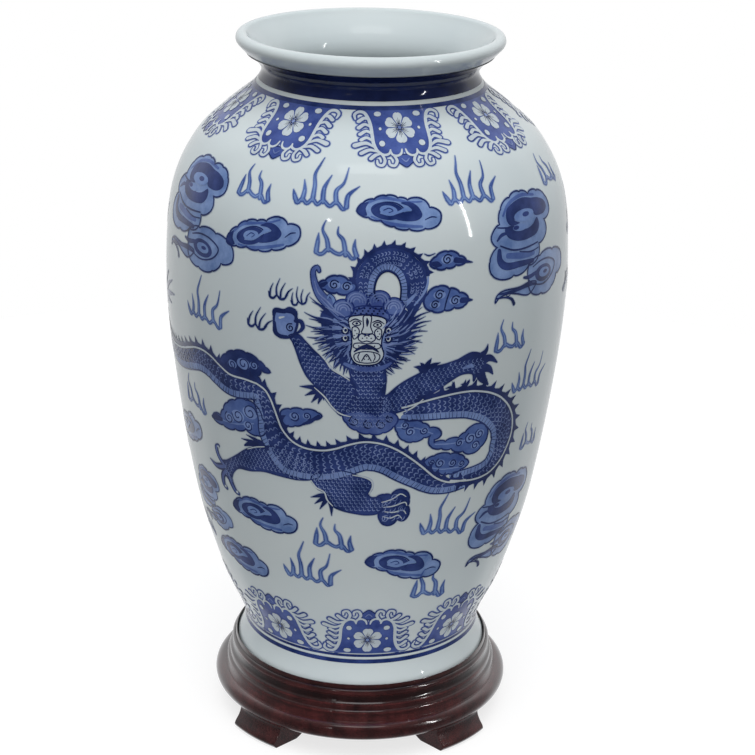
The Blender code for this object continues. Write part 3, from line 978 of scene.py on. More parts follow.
def right_hind_leg(brush):
    """The bent hind leg under the belly, with its scalloped foot."""
    skin(brush, [
        (-30, 146), (-26.5, 140.4), (-21.5, 138), (-20.4, 133.6), (-17.4, 130), (-12, 127.8), (-5, 126.4),
        (2, 125.6), (9, 126.6), (12, 131), (10, 136.4), (5, 136.6), (3.2, 138.6), (5, 142), (5.2, 145.6),
        (3, 148.2), (-2, 149.6), (-8, 152), (-18, 153), (-26, 150),
    ], 240)
    foot = [
        (8, 136.8), (12.4, 138.4), (16.4, 137.8), (20.4, 141.2), (25.6, 139.4), (27, 134.4), (26.4, 130.6),
        (27.6, 126), (24.6, 121.2), (20.4, 122.8), (18, 119.4), (13.4, 119), (10.4, 122), (9.6, 127),
        (7, 131),
    ]
    brush.shape("deep", foot, "line", 1.0, bulge=0.12)
    toes = [
        [(11, 133.6, 0.5), (17, 135.4, 0.7), (21.6, 138.4, 0.7), (25, 136.6, 0.5)],
        [(12, 130.4, 0.5), (18, 131, 0.7), (24.4, 133, 0.7), (26, 130.8, 0.4)],
        [(13, 127.6, 0.5), (18, 127, 0.7), (23.6, 128, 0.7), (25.8, 125.6, 0.4)],
        [(12, 124.6, 0.5), (16.4, 123.4, 0.7), (21, 125, 0.7), (23.4, 122.8, 0.4)],
    ]
    brush.line("pale", *toes)
    for n in range(14):
        x, s = 11.6 + (n % 5) * 2.9, 121.6 + (n // 5) * 4.9 + (n % 2)
        brush.line("fleck", [(x, s, 0.3), (x + 1.4, s + 0.9, 0.6), (x + 1.9, s + 2.3, 0.3)])
    for x, s, r in ((13.5, 123, 2.3), (18.6, 136, 2.4), (22.6, 129, 1.9), (13, 131.6, 2.2)):
        swirl(brush, "fleck", x, s, r, 1.0, 0.4)
    spikes(brush, (-20, 136.4), [(-30.6, 134.4), (-28.4, 130.6), (-25.4, 127.6), (-18.4, 124)], 3.2)
    brush.line(
        "pale",
        [(-30, 145, 0.5), (-27, 141, 0.8), (-22.4, 138.6, 0.8), (-20.8, 134, 0.8), (-17.6, 130.4, 0.5)],
        [(-6, 150.4, 0.5), (0, 149.4, 0.8), (4.4, 147.2, 0.8), (5.4, 143.6, 0.8), (3.4, 139, 0.5)],
    )


def foreleg(brush):
    """The foreleg that reaches out to the right."""
    skin(brush, [
        (8, 196), (12, 198.4), (17, 203), (22, 206.4), (28, 209.4), (34, 212.4), (42, 213.4), (50, 215),
        (58, 215.6), (64, 214), (67, 209), (62, 204.4), (60, 201), (58.6, 205.6), (52, 206.2), (45, 203),
        (38, 198.6), (30, 195.4), (24, 190.4), (18, 188), (10, 187),
    ], 200)
    brush.line(
        "line",
        [(60, 213, 5), (66, 216.6, 3), (67.4, 220.4, 0.6)],
        [(62, 211, 6), (69, 212.6, 4), (74.6, 209, 0.8)],
        [(63, 208, 6), (69, 206.6, 4), (72.4, 202.8, 0.8)],
        [(63, 207, 6), (65.4, 202, 5), (69.6, 197.4, 1.2)],
        [(50, 214, 3), (57, 216.4, 3.4), (62, 216.4, 1.4)],
    )
    brush.line(
        "tint",
        [(53, 209.6, 1.2), (58, 210.4, 2.4), (61, 209.4, 1.2)],
        [(62, 205, 1), (66.4, 206, 1.4), (70, 204.6, 0.6)],
    )
    spikes(brush, (30, 210.6), [(25.4, 213.4), (28.6, 215.4), (34.4, 217.4), (39.4, 214.6)], 3.2)
    spikes(brush, (47, 198.6), [(43.4, 199.4), (47.2, 202.6)], 2.0)
    spikes(brush, (55, 198.6), [(52.4, 200.4), (57.4, 202.4)], 2.0)
    brush.line("pale", [(19, 187.6, 0.4), (24, 189.4, 0.8), (28, 192, 0.8), (31, 194.6, 0.5)])


def arm_and_chest(brush):
    """The raised arm, the chest and the curls below it."""
    skin(brush, [
        (-40, 228), (-35, 229.4), (-31, 226), (-26, 221), (-21, 217), (-17, 212), (-12, 208.6), (-7, 206),
        (-4, 199), (-7, 190), (-11.6, 185.6), (-16, 189), (-20.6, 194.6), (-25, 200.6), (-30.4, 206.6),
        (-33.6, 213), (-36, 220), (-38, 225),
    ], 125)
    skin(brush, [
        (-8, 215), (0, 213), (9, 213), (11, 206), (9.4, 199), (14, 195), (15.4, 187), (13, 181), (7, 177.6),
        (0, 177), (-6, 179.4), (-11, 183.6), (-9, 191), (-5, 199), (-7, 207),
    ], 270)
    brush.line(
        "pale",
        [(-25, 221.4, 0.4), (-20.4, 216.8, 0.9), (-17.4, 212.4, 0.9), (-12.4, 209.4, 0.9), (-8, 206.4, 0.5)],
        [(-26.4, 200.8, 0.4), (-21, 196, 0.8), (-17, 190.4, 0.8), (-12.6, 186.8, 0.8), (-7, 185.4, 0.4)],
    )
    spikes(brush, (-22.4, 199.4), [
        (-34.4, 200.4), (-31.6, 195.6), (-28.2, 192), (-24.6, 191.6), (-21.6, 194),
    ], 3.4)
    brush.line(
        "line",
        [(-7.4, 207, 1.6), (-4.6, 199, 1.8), (-3.4, 190, 1.2)],
        [(10.4, 206, 1.8), (9.6, 198, 2.2), (8.6, 190, 1.2)],
    )
    curls = [
        (-11.4, 186), (-9.4, 181.6), (-4, 177.6), (3, 175.8), (10, 176.2), (15.6, 179.6), (18, 184.4),
        (13, 188.4), (7, 185.4), (1, 187.4), (-5, 188),
    ]
    brush.shape("mid_top", curls, "deep_top", 0.9, bulge=0.14)
    for x, s, r in ((-5.4, 182.8, 2.9), (2.2, 181, 2.7), (9, 181, 2.7), (13.6, 184.2, 2.2)):
        swirl(brush, "ink", x, s, r, 2.0, 0.8)
        swirl(brush, "fleck", x + 0.5, s - 0.4, r * 0.6, 2.0, 0.4)


def dragon_paw(brush):
    """The raised paw with its pearl."""
    ball = [
        (-47.4, 240), (-43, 240.6), (-38, 240.4), (-35.4, 237), (-36, 232), (-38, 228), (-42, 226.6),
        (-46, 227), (-48, 231), (-48.4, 236),
    ]
    brush.shape("tint", ball, "line", 1.4)
    brush.line(
        "line",
        [
            (-48.4, 238, 1.8), (-47.6, 240.6, 2.6), (-42.6, 240.8, 2.4), (-39.4, 242.4, 2.4),
            (-36.4, 241, 2.2), (-36.2, 237, 1.4),
        ],
        [
            (-36.4, 236.4, 2), (-33.4, 236.4, 2.4), (-32.4, 233.4, 2.2), (-34.6, 230.6, 1.4),
            (-37, 229.4, 1.2),
        ],
        [(-48, 234, 1.6), (-47.6, 229, 2.6), (-45, 227.2, 2), (-41, 227.4, 1.2)],
    )
    swirl(brush, "ink", -39.2, 232.4, 2.4, 1.2, 0.7)
    brush.line("pale", [(-45, 237, 1.2), (-42.6, 237.8, 0.6)])


def dragon_neck(brush):
    """The neck, looping up behind the head round a white opening."""
    outer = [
        (-3, 246), (-5.4, 254), (-5.4, 261), (-4.6, 265.4), (-1.4, 270.4), (3, 274.4), (9, 276.6),
        (15, 276.8), (21, 275), (25.4, 271), (29.4, 267), (31, 260), (31, 253), (28, 247), (24, 240),
    ]
    hole = [
        (17.2, 250), (17.4, 257), (15.4, 262.4), (11, 265), (7, 263.4), (4.6, 259), (4.2, 253), (6, 250),
    ]
    rim = catmull(outer, 1.2)
    gap = catmull(hole, 1.0)
    brush.fill("deep", np.vstack([rim, gap]))
    band = catmull([
        (18.8, 248, 2.6), (19.2, 257, 2.8), (16.6, 264.2, 2.8), (11, 267.4, 2.8), (5.6, 265.6, 2.8),
        (2.6, 260, 2.8), (1.8, 252, 2.6),
    ], 0.9)
    brush.trace("tint", band)
    sides = np.stack([offset(band, 1.3), offset(band, -1.3)], 1)
    for k in range(1, len(band) - 1, 2):
        brush.trace("ink", sides[k], 0.3)
    brush.trace("ink", gap, 0.9)
    spine = catmull([
        (-5.6, 258), (-4.8, 265), (-1.4, 270.4), (3, 274.2), (9, 276.4), (15, 276.6), (21, 274.6),
        (25.6, 271), (29.6, 266.4), (31, 260),
    ], 1.0)
    fins(brush, spine, 1, 4.2, 4.6)
    for u in np.arange(0.0, 1.0, 0.028):
        k = int(u * (len(rim) - 3)) + 1
        tangent = rim[k + 1] - rim[k - 1]
        tangent /= np.hypot(*tangent)
        for d in (-2.6, -5.2, -7.8):
            x, s = rim[k] + np.array([-tangent[1], tangent[0]]) * d
            if s > 248 and not inside((x, s), gap):
                scale_stroke(brush, x, s, tangent[0], tangent[1], 0.9)
    brush.line("tint", [(31.6, 266.6, 0.4), (31.4, 258, 1.2), (29, 252.4, 1.2), (24.6, 247, 0.8)])


def mane(brush, centre):
    """The mass of hair round the face: rings of fine curved strokes, and loose tips outside."""
    mass = [
        (-15, 247), (-22.6, 242.6), (-22.6, 235), (-20, 227.6), (-16, 220), (-11, 213.6), (-4, 211.4),
        (6, 211.4), (12, 213.4), (17, 219.6), (21.4, 226.6), (23.4, 234), (24, 241), (17, 246.4), (8, 248),
        (-6, 248),
    ]
    brush.shape("deep", mass)
    light = [
        (-14, 242), (-17, 236), (-16, 228), (-11.6, 220), (-6, 214.6), (4, 213.4), (11.6, 217), (15, 224),
        (17, 231), (16, 239), (12, 243), (0, 243),
    ]
    brush.shape("tint", light)
    hair = ((9, 14.5, 58), (12, 18.5, 74), (16, 22.5, 90), (20, 26.5, 100))
    for ring, (low, high, count) in enumerate(hair):
        for n in range(count):
            angle = math.tau * (n + 0.5 * ring) / count
            if math.sin(angle) > 0.72:
                continue
            sweep = 0.09 + 0.05 * math.sin(1.7 * n)
            lift = 1.6 * math.cos(angle) ** 2
            tail = high + 1.1 * math.sin(2.3 * n + ring)
            drop = 1.5 if math.sin(angle) < -0.6 and ring == 0 else 1.0
            points = []
            reach = (low * drop, 0.5 * (low + tail) * drop, tail * max(1, drop * 0.9))
            for r, w in zip(reach, (0.35, 0.85, 0.2)):
                a = angle + sweep * (r - low) / 6
                rise = lift * (r - low) / 10
                points.append((centre[0] + r * math.cos(a), centre[1] + 0.9 * r * math.sin(a) + rise, w))
            brush.line("fleck" if n % 4 == 1 and math.sin(angle) > -0.75 else "line", points)
    tips = [
        (-29, 250), (-27.6, 247.6), (-31.6, 241.6), (-29, 238.4), (-31, 234.8), (-28, 231.6), (-30, 228.4),
        (-27, 224.8), (-24, 223.6), (-22.6, 218.6), (-18, 216), (-15.4, 212.4), (14.6, 211.4),
        (17.4, 213.6), (21.4, 216.6), (25.4, 220.6), (25.8, 224.4), (29, 226.6), (29, 230.4), (31.6, 232.6),
        (30.8, 236), (33.4, 238), (30.4, 240.6), (33, 243), (28.6, 245.6),
    ]
    for n, tip in enumerate(tips):
        out = np.array(tip) - centre
        base, middle = centre + out * 0.72, centre + out * 0.86 + (0.0, 0.6 if n % 2 else -0.4)
        brush.line("line", [(*base, 1.7), (*middle, 0.9), (*(centre + out), 0.2)])


def dragon_face(brush, x0):
    """A lion-like face: a white mask divided by dark lines and dots, under a blue brow."""
    brush.shape("pale", [
        (-8.8, 240), (-4, 242), (4, 242), (10, 240), (9.8, 235), (8.4, 230), (8.2, 225.6), (9.4, 220.6),
        (6.6, 216.2), (0.6, 215), (-5, 216), (-7.6, 220.6), (-7, 226), (-7.4, 232),
    ], "ink", 0.8)
    patches = [
        [(-1.4, 241.4), (0.6, 242), (2.8, 241.4), (2.4, 236), (3.4, 232.6), (-2, 232.6), (-1.2, 236)],
        [(-6.8, 237.6), (-5.4, 238.9), (-3.4, 238.6), (-2.6, 237.4), (-4, 236.6), (-5.8, 236.7)],
        [(3.8, 236.9), (4.8, 238.1), (6.8, 238.3), (8, 236.9), (6.8, 235.9), (5, 236)],
        [(-6.8, 235.4), (-4.6, 235.8), (-3.2, 233.6), (-4.2, 230.4), (-6, 229.2), (-6.8, 232)],
        [(7.8, 234.6), (5.8, 235), (4.4, 233), (5.4, 230.2), (7, 229), (8, 231.6)],
        [
            (-3.8, 229.6), (-2.4, 232.2), (0.6, 231.4), (3.6, 232.2), (5, 229.6), (3, 227.8), (0.6, 228.4),
            (-1.8, 227.8),
        ],
        [(-5.8, 226.6), (-3, 227.2), (0.6, 226.8), (4.4, 227.2), (7.2, 226.6), (6.4, 224.2), (-5, 224.2)],
        [
            (-5.8, 220.4), (-3.4, 222), (0.6, 222.6), (4.8, 222), (7.4, 220.4), (6, 217.2), (0.6, 216.2),
            (-4.6, 217.2),
        ],
    ]
    for patch in patches:
        brush.shape("pale", patch, "ink", 0.65)
    brush.shape("mid_top", [
        (-7.4, 241.4), (-6.6, 245.4), (-2, 247), (3, 246.8), (8, 246.6), (11, 243.6), (11.6, 240),
        (7, 241.6), (2, 242.4), (-3, 242.4),
    ], "deep_top", 0.7)
    for n in range(18):
        brush.oval("ink", -5.4 + (n % 6) * 2.8 + (n // 6) * 0.9, 243.0 + (n // 6) * 1.4, 0.55, 0.5)
    brush.oval("ink", -4.6, 237.7, 0.7, 0.65)
    brush.oval("ink", 5.9, 237.1, 0.7, 0.65)
    brush.line("mid_top", [(-8.6, 238.6, 1), (-5.6, 240.8, 2.4), (-2, 239.6, 1.2)])
    brush.line("ink", [(-8.2, 238.4, 0.5), (-5.4, 240, 0.8), (-2.2, 238.8, 0.5)])
    brush.line("mid_top", [(3.2, 239.2, 1.2), (6.6, 240.2, 2.4), (9.6, 238, 1)])
    brush.line(
        "ink",
        [(3.4, 238.4, 0.5), (6.2, 239.4, 0.8), (9.2, 237.6, 0.5)],
        [(0.5, 240.6, 0.5), (0.8, 238.6, 1.6), (0.6, 236.2, 0.5)],
    )
    dots = [
        (-1.6, 229.8), (0.6, 230), (2.8, 229.8), (-0.4, 231), (1.6, 231), (-5.4, 233.8), (-4.4, 232.2),
        (-5.8, 231.2), (6, 233.6), (7, 232.2), (6.2, 230.8), (-0.4, 218.4), (1.6, 218.4), (0.6, 219.8),
        (-3.4, 225.6), (4.6, 225.6),
    ]
    for x, s in dots:
        brush.oval("ink", x, s, 0.42, 0.38)
    for sign in (-1, 1):
        for s, r in ((233.8, 2.1), (229.6, 2)):
            brush.oval("pale", x0 + 11.0 * sign, s, r * 0.8, r, 0, "ink", 1.0)
            brush.oval("ink", x0 + 10.8 * sign, s, 0.8, 0.9)
        brush.line("ink", [
            (x0 + 3.6 * sign, 221.6, 0.5), (x0 + 4.4 * sign, 219.4, 0.7), (x0 + 3.4 * sign, 217.2, 0.4),
        ])
        brush.line("fleck", [
            (x0 + 8.6 * sign, 226.4, 0.5), (x0 + 9.6 * sign, 222, 1), (x0 + 8.6 * sign, 217.6, 0.5),
        ])
    brush.line(
        "ink",
        [(-5.6, 222.4, 0.8), (-2.8, 224.4, 1.7), (0.6, 225.4, 2.2), (4, 224.4, 1.8), (6.6, 222.4, 0.8)],
        [(-1.8, 217.4, 0.6), (0.6, 221, 0.8), (3, 217.4, 0.6)],
    )
    brush.line("mid_top", [
        (-10.4, 215.4, 1.6), (-5, 213.4, 2.6), (1, 212.6, 2.8), (8, 213.4, 2.6), (13, 216, 1.4),
    ])


def dragon_head(brush):
    """The face in its mane, with brow puffs and a horn."""
    mane(brush, np.array([0.8, 231]))
    for x, s, r in ((-11.4, 245.4, 5.4), (-4.8, 250, 5.6), (6.6, 250.2, 5.6), (13.8, 246.8, 5.2)):
        brush.oval("mid_top", x, s, r, r * 0.88, 0, "deep_top", 0.8)
        for share in (0.80, 0.54, 0.28):
            arch = [
                (x + r * share * math.cos(a), s - 0.8 + r * share * 0.95 * math.sin(a), 0.7)
                for a in np.linspace(-0.1, math.pi + 0.1, 8)
            ]
            brush.trace("fleck", arch)
    dragon_face(brush, 0.6)
    horn = [
        (-13, 241.6, 5), (-17.6, 246.4, 5.4), (-22.6, 250.6, 4.6), (-25.6, 255.2, 3.4), (-27.2, 260.2, 2.4),
        (-27.4, 264, 1.9), (-25.4, 265.8, 1.7), (-24.4, 264, 1.2),
    ]
    brush.lined("mid_top", horn, "line", 0.6)
    brush.line(
        "fleck",
        [(-15, 243.4, 0.5), (-19.6, 248.4, 0.8), (-24.4, 252.6, 0.7), (-26.6, 258.4, 0.5)],
        [(-14, 241.4, 0.4), (-19, 245.6, 0.6), (-23, 249.6, 0.4)],
    )
    brush.lined("wash_top", [
        (-15.8, 246.8, 1.5), (-17, 250.4, 1.4), (-18.8, 251.8, 1.1), (-19.6, 250.2, 0.8),
    ], "line", 0.5)
    brush.line("tint", [(12, 241.6, 1.2), (16, 245, 2.6), (21, 248.6, 2.4), (25, 252.6, 1.2)])


def dragon(painting, x):
    """The dragon with the clouds and small waves round it."""
    brush = Brush(painting, x, 0)
    dragon_neck(brush)
    ground = [
        [
            (-97, 168), (-94, 171.4), (-89, 171.4), (-86, 176), (-82, 181), (-76, 184), (-68, 186),
            (-62, 184.6), (-58, 178), (-57, 168.6), (-62, 166.4), (-70, 168.4), (-78, 166.4), (-88, 166.2),
        ],
        [
            (-46, 184), (-40, 186.4), (-33, 187), (-25, 186.4), (-22.6, 184.6), (-27, 182), (-33, 179),
            (-38, 177), (-44, 176.6),
        ],
        [
            (-85, 204), (-80, 209.8), (-74, 212.8), (-66, 213.6), (-58, 211), (-54, 208), (-51, 205.6),
            (-56.6, 205.8), (-59, 202), (-57, 198), (-70, 196.4), (-80, 198.6),
        ],
        [
            (17, 183), (24, 182.4), (32, 180.6), (36, 177.4), (42, 175.4), (43, 172), (39, 170), (39, 168),
            (46, 168), (54, 168.8), (58, 171.4), (66, 175), (72, 172), (74, 166), (70, 160), (64, 157.4),
            (58, 160), (50, 163), (44, 164), (37.4, 166), (36, 170), (37, 173), (33, 172), (27, 170),
            (22, 171), (18, 176),
        ],
        [
            (34, 156.6), (40, 160), (50, 159.6), (56, 158.4), (60, 155), (63, 152), (58, 149), (50, 147.6),
            (44, 149), (38, 152.6),
        ],
    ]
    for n, outline in enumerate(ground):
        brush.shape("deep" if n == 2 else "mid", outline, "line", 0.9, bulge=0.14)
    marks = [
        (-66, 179, 4.6), (-75, 175, 4.2), (-82, 172, 3.4), (-68, 171, 3), (-38, 182.6, 2.8),
        (-31, 183.6, 2.2), (-68, 207, 4), (-76, 205, 3), (-61, 207.6, 2.6), (25, 176, 2.6), (33, 176, 2.2),
        (22, 180, 2.2), (62, 167, 3.4), (55, 165.6, 2.4), (68, 168.6, 3), (66, 162, 2.6), (44, 155, 2.8),
        (52, 154, 2.4), (58, 152.6, 2), (39, 156.4, 1.8),
    ]
    for x0, s0, r in marks:
        brush.oval("tint", x0, s0, r * 1.1, r * 0.8)
        swirl(brush, "line", x0, s0, r * 1.05, x0 % 6.0, 0.75)
    brush.line(
        "tint",
        [(18, 179), (28, 178), (38, 173.6)],
        [(40, 167), (50, 166), (58, 166.4)],
        [(-90, 169), (-78, 169.4), (-64, 173)],
        [(36, 154), (46, 151), (60, 150.6)],
        width=0.7,
    )
    brush.line("line", [(-97, 168.2, 2), (-93, 169.4, 4.2), (-89, 169.2, 2.6)])
    brush.lined("wash", [(-33, 178.6, 0.6), (-28, 181.6, 1.2), (-24.4, 184.4, 1)], "line", 0.4)
    dragon_body(brush)
    left_hind_leg(brush)
    right_hind_leg(brush)
    foreleg(brush)
    arm_and_chest(brush)
    dragon_paw(brush)
    dragon_head(brush)
    wisp(
        brush,
        [
            (-25, 256.6), (-21, 259.4), (-15, 262), (-9.4, 260.2), (-5, 257), (-8, 253.6), (-15, 253.4),
            (-21, 254.6),
        ],
        [(-16.4, 257.4, 2.6), (-10, 256.8, 2.4)],
        [(-26.6, 255.4, 0.6), (-23, 256.6, 2.4), (-20.4, 258.2, 1.4)],
    )
    wisp(
        brush,
        [
            (32.6, 267.6), (36, 271.4), (42.6, 273.4), (49, 270.6), (53, 267.6), (47, 266.2), (41.6, 265.2),
            (36, 265.4),
        ],
        [(42.2, 269.4, 2.8)],
        [(47, 268.6, 3), (51, 267.8, 2.4), (56.6, 266.4, 0.5)],
    )
    brush.line(
        "line",
        [(33.4, 268, 1.6), (36.4, 267.4, 3.2), (38.6, 266.8, 1.2)],
        [(29.8, 273.2, 0.4), (32, 272.2, 0.8), (35.4, 273, 0.4)],
    )
    wisp(
        brush,
        [
            (29.6, 247), (31.4, 252.4), (37, 255.8), (43, 254.2), (49, 251.4), (54, 248), (52, 244.4),
            (46, 244), (40.6, 243.2), (34, 243.2),
        ],
        [(37.8, 251.4, 2.7), (35.4, 246.4, 2.3), (46.6, 247.6, 2.7)],
        [(50.4, 247.2, 3), (53, 247, 2.8), (56.4, 246.6, 0.8)],
    )
    brush.line("ink", [(40.6, 243.6, 0.6), (41.6, 248, 0.8), (43.6, 253.6, 0.6)])


# ---------------------------------------------------------------- layout

def rings(painting):
    """The cobalt neck band and the lines round shoulder and foot, as turned bands of (low s, high s)."""
    bands = [("ink", NECK_BAND, painting.side.length - 0.4)] + [("deep", *line) for line in LINES]
    for layer, low, high in bands:
        rows = max(2, math.ceil((high - low) / 1.6) + 1)
        xs = np.linspace(SEAM, SEAM + ROUND, TURN + 1)
        ss = np.linspace(low, high, rows)
        points = np.array([(x, s) for x in xs for s in ss])
        faces = [(i * rows + j, (i + 1) * rows + j, (i + 1) * rows + j + 1, i * rows + j + 1)
                 for i in range(TURN) for j in range(rows - 1)]
        painting.add(layer, points, faces)


def paint(side):
    """The whole painting. The belly's pattern repeats after half a turn."""
    painting = Painting(side)
    rings(painting)
    for i in range(SHOULDER_SHIELDS):
        lappet(Brush(painting, 23.8 + i * ROUND / SHOULDER_SHIELDS, SHOULDER_LINE, flip_s=-1))
    for i in range(FOOT_SHIELDS):
        share = i / FOOT_SHIELDS
        x = 6.0 + i * ROUND / FOOT_SHIELDS + 4.2 * math.sin(math.tau * share)
        lappet(Brush(painting, x, FOOT_LINE, 1.04))
        painting.ribbon("fleck", [(x + d, FOOT_LINE + 0.9, 0.5) for d in np.linspace(-33, 33, 34)])
    scattered = (
        (long_flame, [(-24, 298, 1, 0), (62.5, 298, 1, 0), (-95, 225, 0.95, 0), (105, 187.6, 0.88, -3),
                      (-34, 78.6, 1.05, -3), (54, 110.4, 1, -6), (-176, 262, 1, 4)]),
        (short_flame, [(-68, 297.4, 1, 0), (-16, 273.6, 1, 0), (83.5, 216, 1, 0), (-115, 170, 1, -4),
                       (-18, 104.4, 1.08, -3), (49, 67, 1.15, -3), (135, 296, 1, 0), (117, 149, 0.9, 0),
                       (-168, 130, 1, 3), (-140, 84, 1, 0)]),
        (grass, [(-46, 250.6, 0.95, 0), (-34.6, 248.6, 0.8, 14), (-58, 233, 1.05, -8)]),
        (oval_cloud, [(17, 295, 1, 0), (-58.6, 278.6, 1, 20), (-65, 117, 1.05, 4), (28, 92, 1.12, -4),
                      (-94, 81, 1.1, 2), (-136, 150, 1, 22)]),
        (big_cloud, [(100, 283, 1, 0), (-110, 295.6, 1, 0), (106, 121, 1, 0), (-116, 121, 0.62, 0)]),
    )
    for x in (0, ROUND / 2):
        dragon(painting, x)
        for draw, places in scattered:
            for x0, s0, size, turn in places:
                draw(Brush(painting, x + x0, s0, size, turn))
    painting.build()


# ---------------------------------------------------------------- pieces

def build_vase(base, material):
    """The thrown vase: outer side, rounded lip, inner side, floor and foot rim."""
    outside = catmull(VASE_SIDE, 4.0)[::-1]
    inside = catmull(VASE_INSIDE, 7.0)[::-1]
    foot = VASE_SIDE[0][0]
    rim = foot - FOOT_RIM[0]
    edge = arc((foot - 1.2, 1.2, 1.2), 0, -90, 4)[1:]
    underside = [(rim + 0.8, 0.0), (rim, 0.3), (rim - 3.0, FOOT_RIM[1]), (0.01, FOOT_RIM[1])]
    profile = np.vstack([
        [(0.01, BASE_THICKNESS), (20.0, BASE_THICKNESS + 0.1)], inside, arc(LIP, 150, -45, 20), outside,
        edge, underside,
    ])
    length = arc_length(profile)
    profile[:, 1] += base
    points, faces = turned_grid(profile, 0, math.tau, TURN, False)
    uv = np.column_stack([np.repeat(np.arange(TURN + 1) / TURN, len(profile)),
                          np.tile(length / length[-1], TURN + 1)])
    faces = [face[::-1] for face in faces]
    made = mesh_piece("vase_body", points, faces, material, "vase", uv=uv)
    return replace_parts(made, "vase")


def ring_profile():
    """Closed outline of the ring's section in mm."""
    collar = [(73.2, 42.9), (73.35, 43.2), (73.6, 43.3), (73.85, 43.2), (74.0, 42.9), (74.4, 40.5)]
    hollow = [(75.4, 36.0), (75.5, 35.2), (75.7, 34.5), (76.0, 33.9), (76.4, 33.4)]
    steps = [(77.1, 33.1), (77.4, 32.7), (77.6, 30.6), (77.7, 29.3), (78.6, 28.8), (79.0, 28.2), (79.2, 26.2)]
    return np.vstack([
        collar, arc(BEAD, 75, -55, 12), hollow, steps, arc(TORUS, 95, -55, 20),
        [(80.5, 14.0), (64.0, 14.0), (64.0, 33.5), (73.2, 33.5)],
    ])


def closed_solid(name, points, faces, rows, material, bevel):
    """A solid between two end outlines, with its edges eased."""
    ends = [tuple(range(rows)), tuple(range(len(points) - rows, len(points)))[::-1]]
    made = mesh_piece(name, points, faces + ends, material, "stand")
    ease = made.modifiers.new("ease", "BEVEL")
    ease.width = bevel * MM
    ease.segments = 2
    ease.limit_method = "ANGLE"
    ease.angle_limit = math.radians(40)
    ease.harden_normals = True
    return made


def build_ring(woods):
    """Four moulded segments, each with its own piece of wood."""
    profile = ring_profile()
    profile = np.vstack([profile, profile[:1]])
    half = math.pi / 4 - SEGMENT_GAP / GAP_RADIUS
    for i in range(4):
        azimuth = i * math.pi / 2
        points, faces = turned_grid(profile, azimuth - half, azimuth + half, 64, False)
        rows = len(profile)
        keep = [k for k in range(len(points)) if k % rows != rows - 1]
        index = {k: n for n, k in enumerate(keep)}
        merged = [tuple(index[k if k % rows != rows - 1 else k - rows + 1] for k in face) for face in faces]
        made = closed_solid(f"ring_wood_{i + 1}", points[keep], merged, rows - 1, woods[i], 0.02)
        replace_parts(made, f"ring_segment_{i + 1}")


def build_feet(woods):
    """Four bracket feet: an ogee outside, a hollow curve inside, and parallel cut sides."""
    ogee = [(82.8, FOOT_TOP), (82.2, 11.2), (83.6, 7.8), (86.2, 4.5), (86.8, 2.6), (85.5, 0.6)]
    outside = catmull(ogee, 0.8)
    inside = catmull([(69.5, 0.0), (65.0, 2.2), (62.0, 6.0), (60.6, FOOT_TOP)], 1.0)
    profile = np.vstack([outside, [(84.8, 0.0)], inside])
    rows, steps = len(profile), 20
    for i in range(4):
        azimuth = math.pi / 4 + i * math.pi / 2
        points = []
        for u in np.linspace(-1, 1, steps + 1):
            for radius, height in profile:
                angle = azimuth + u * math.asin(FOOT_HALF / radius)
                points.append((radius * math.cos(angle), radius * math.sin(angle), height))
        faces = []
        for a in range(steps):
            for b in range(rows):
                c = (b + 1) % rows
                faces.append((a * rows + b, (a + 1) * rows + b, (a + 1) * rows + c, a * rows + c))
        made = closed_solid(f"foot_wood_{i + 1}", np.array(points), faces, rows, woods[i], 0.35)
        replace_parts(made, f"foot_{i + 1}")


# ---------------------------------------------------------------- studio

def area_light(name, place, target, size, power, highlight_only):
    """A lamp of (width, height) metres that faces the target."""
    light = bpy.data.lights.new(name, "AREA")
    light.shape = "RECTANGLE" if size[0] != size[1] else "DISK"
    light.size, light.size_y = size
    light.energy = power
    made = bpy.data.objects.new(name, light)
    made.location = place
    made.rotation_euler = (Vector(target) - Vector(place)).to_track_quat("-Z", "Y").to_euler()
    made.visible_diffuse = not highlight_only
    bpy.context.scene.collection.objects.link(made)


def soft_light(name, power, width, tilt):
    """Even light from a wide source, tilted from overhead towards the front, unseen in reflections."""
    light = bpy.data.lights.new(name, "SUN")
    light.energy = power
    light.angle = math.radians(width)
    made = bpy.data.objects.new(name, light)
    made.rotation_euler = (math.radians(tilt), 0, 0)
    made.visible_glossy = False
    bpy.context.scene.collection.objects.link(made)


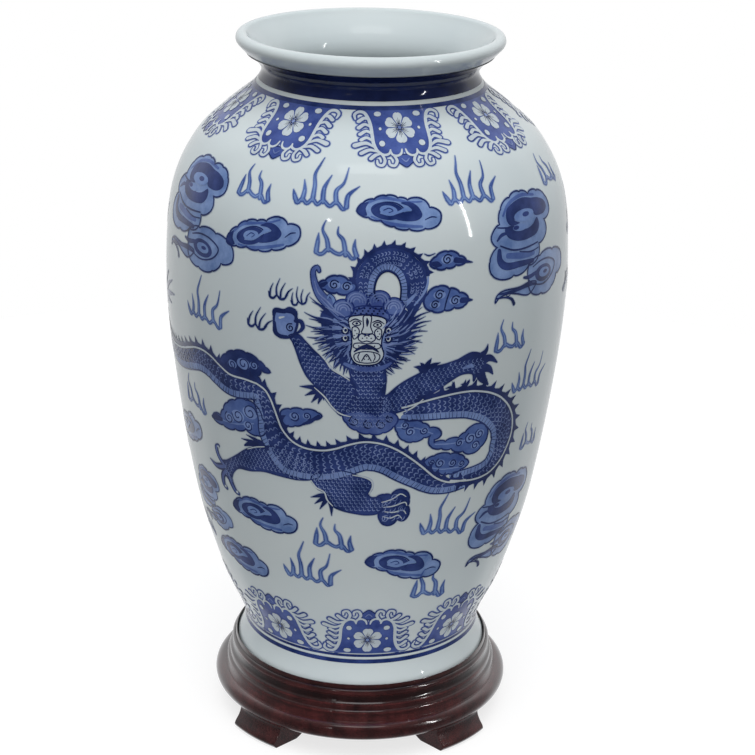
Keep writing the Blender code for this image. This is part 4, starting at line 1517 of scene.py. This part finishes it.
def build_studio():
    """White surroundings that fall off towards the front, a wide ceiling light and small crisp lamps."""
    world = bpy.data.worlds.new("studio")
    bpy.context.scene.world = world
    world.use_nodes = True
    nodes, links = world.node_tree.nodes, world.node_tree.links
    back = nodes["Background"]
    axes = nodes.new("ShaderNodeSeparateXYZ")
    links.new(nodes.new("ShaderNodeTexCoord").outputs["Generated"], axes.inputs[0])
    front = nodes.new("ShaderNodeMapRange")
    front.inputs["From Min"].default_value = FRONT_Y
    front.inputs["From Max"].default_value = BACK_Y
    links.new(axes.outputs["Y"], front.inputs["Value"])
    around = ramp(nodes, links, front.outputs["Result"], SURROUNDINGS)
    seen = nodes.new("ShaderNodeLightPath").outputs["Is Camera Ray"]
    links.new(blend(nodes, links, "MIX", seen, around, (1.0, 1.0, 1.0)), back.inputs["Color"])
    back.inputs["Strength"].default_value = 1.0

    for name, setting in EVEN_LIGHTS.items():
        soft_light(name, *setting)
    for name, setting in LAMPS.items():
        area_light(name, *setting)

    surface = floor_material()
    build_floor("floor", 0.0, FLOOR_INNER, surface)
    outer = build_floor("floor_around", FLOOR_INNER, FLOOR_OUTER, surface)
    outer.visible_diffuse = False


def build_floor(name, low, high, surface):
    """A flat ring of floor between two radii. It stays out of the reflections."""
    points, faces = turned_grid([(low, 0.0), (high, 0.0)], 0, math.tau, 96, True)
    mesh = bpy.data.meshes.new(name)
    mesh.from_pydata([tuple(p) for p in points], [], faces)
    mesh.validate()
    mesh.materials.append(surface)
    floor = bpy.data.objects.new(name, mesh)
    floor.visible_glossy = False
    bpy.context.scene.collection.objects.link(floor)
    return floor


def build_camera():
    """The camera in front of the vase, looking down at it."""
    lens = bpy.data.cameras.new("camera")
    lens.sensor_width = SENSOR
    lens.lens = LENS
    lens.shift_x = LENS_SHIFT
    camera = bpy.data.objects.new("camera", lens)
    tilt = Matrix.Rotation(math.radians(CAMERA_TILT), 4, "X")
    roll = Matrix.Rotation(math.radians(CAMERA_ROLL), 4, "Z")
    camera.matrix_world = Matrix.Translation(CAMERA_PLACE) @ tilt @ roll
    bpy.context.scene.collection.objects.link(camera)
    bpy.context.scene.camera = camera


def main():
    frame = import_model()
    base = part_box("vase")[0].z / MM

    build_camera()
    build_studio()
    glaze = glaze_material()
    quarter = math.pi / 2
    woods = []
    foot_woods = []
    for i in range(4):
        # The ring's wood carries painted shade in its hollows and painted highlights on its edges.
        woods.append(wood_material(f"rosewood_{i + 1}", i * quarter, 0.22, 0.37 * i, shade_and_highlights=PAINTED_LIGHT_BANDS))
    for i in range(4):
        foot_woods.append(wood_material(f"foot_rosewood_{i + 1}", (i + 0.5) * quarter, 0.24, 2 + 0.41 * i))
    panel_wood = wood_material("panel_rosewood", 0.0, 0.42, 5.0)
    bare_wood = wood_material("bare_wood", 0.3, 0.60, 7.0, BARE_WOOD)

    build_vase(base, glaze)
    paint(Side(base))
    build_ring(woods)
    build_feet(foot_woods)
    for name, node in frame["nodes"].items():
        if name.startswith(("joint_tongue", "dowel", "floor_panel")):
            node.data.materials[0] = panel_wood if name == "floor_panel" else bare_wood

    view = bpy.context.scene.view_settings
    view.view_transform = "Standard"
    view.look = "None"


main()
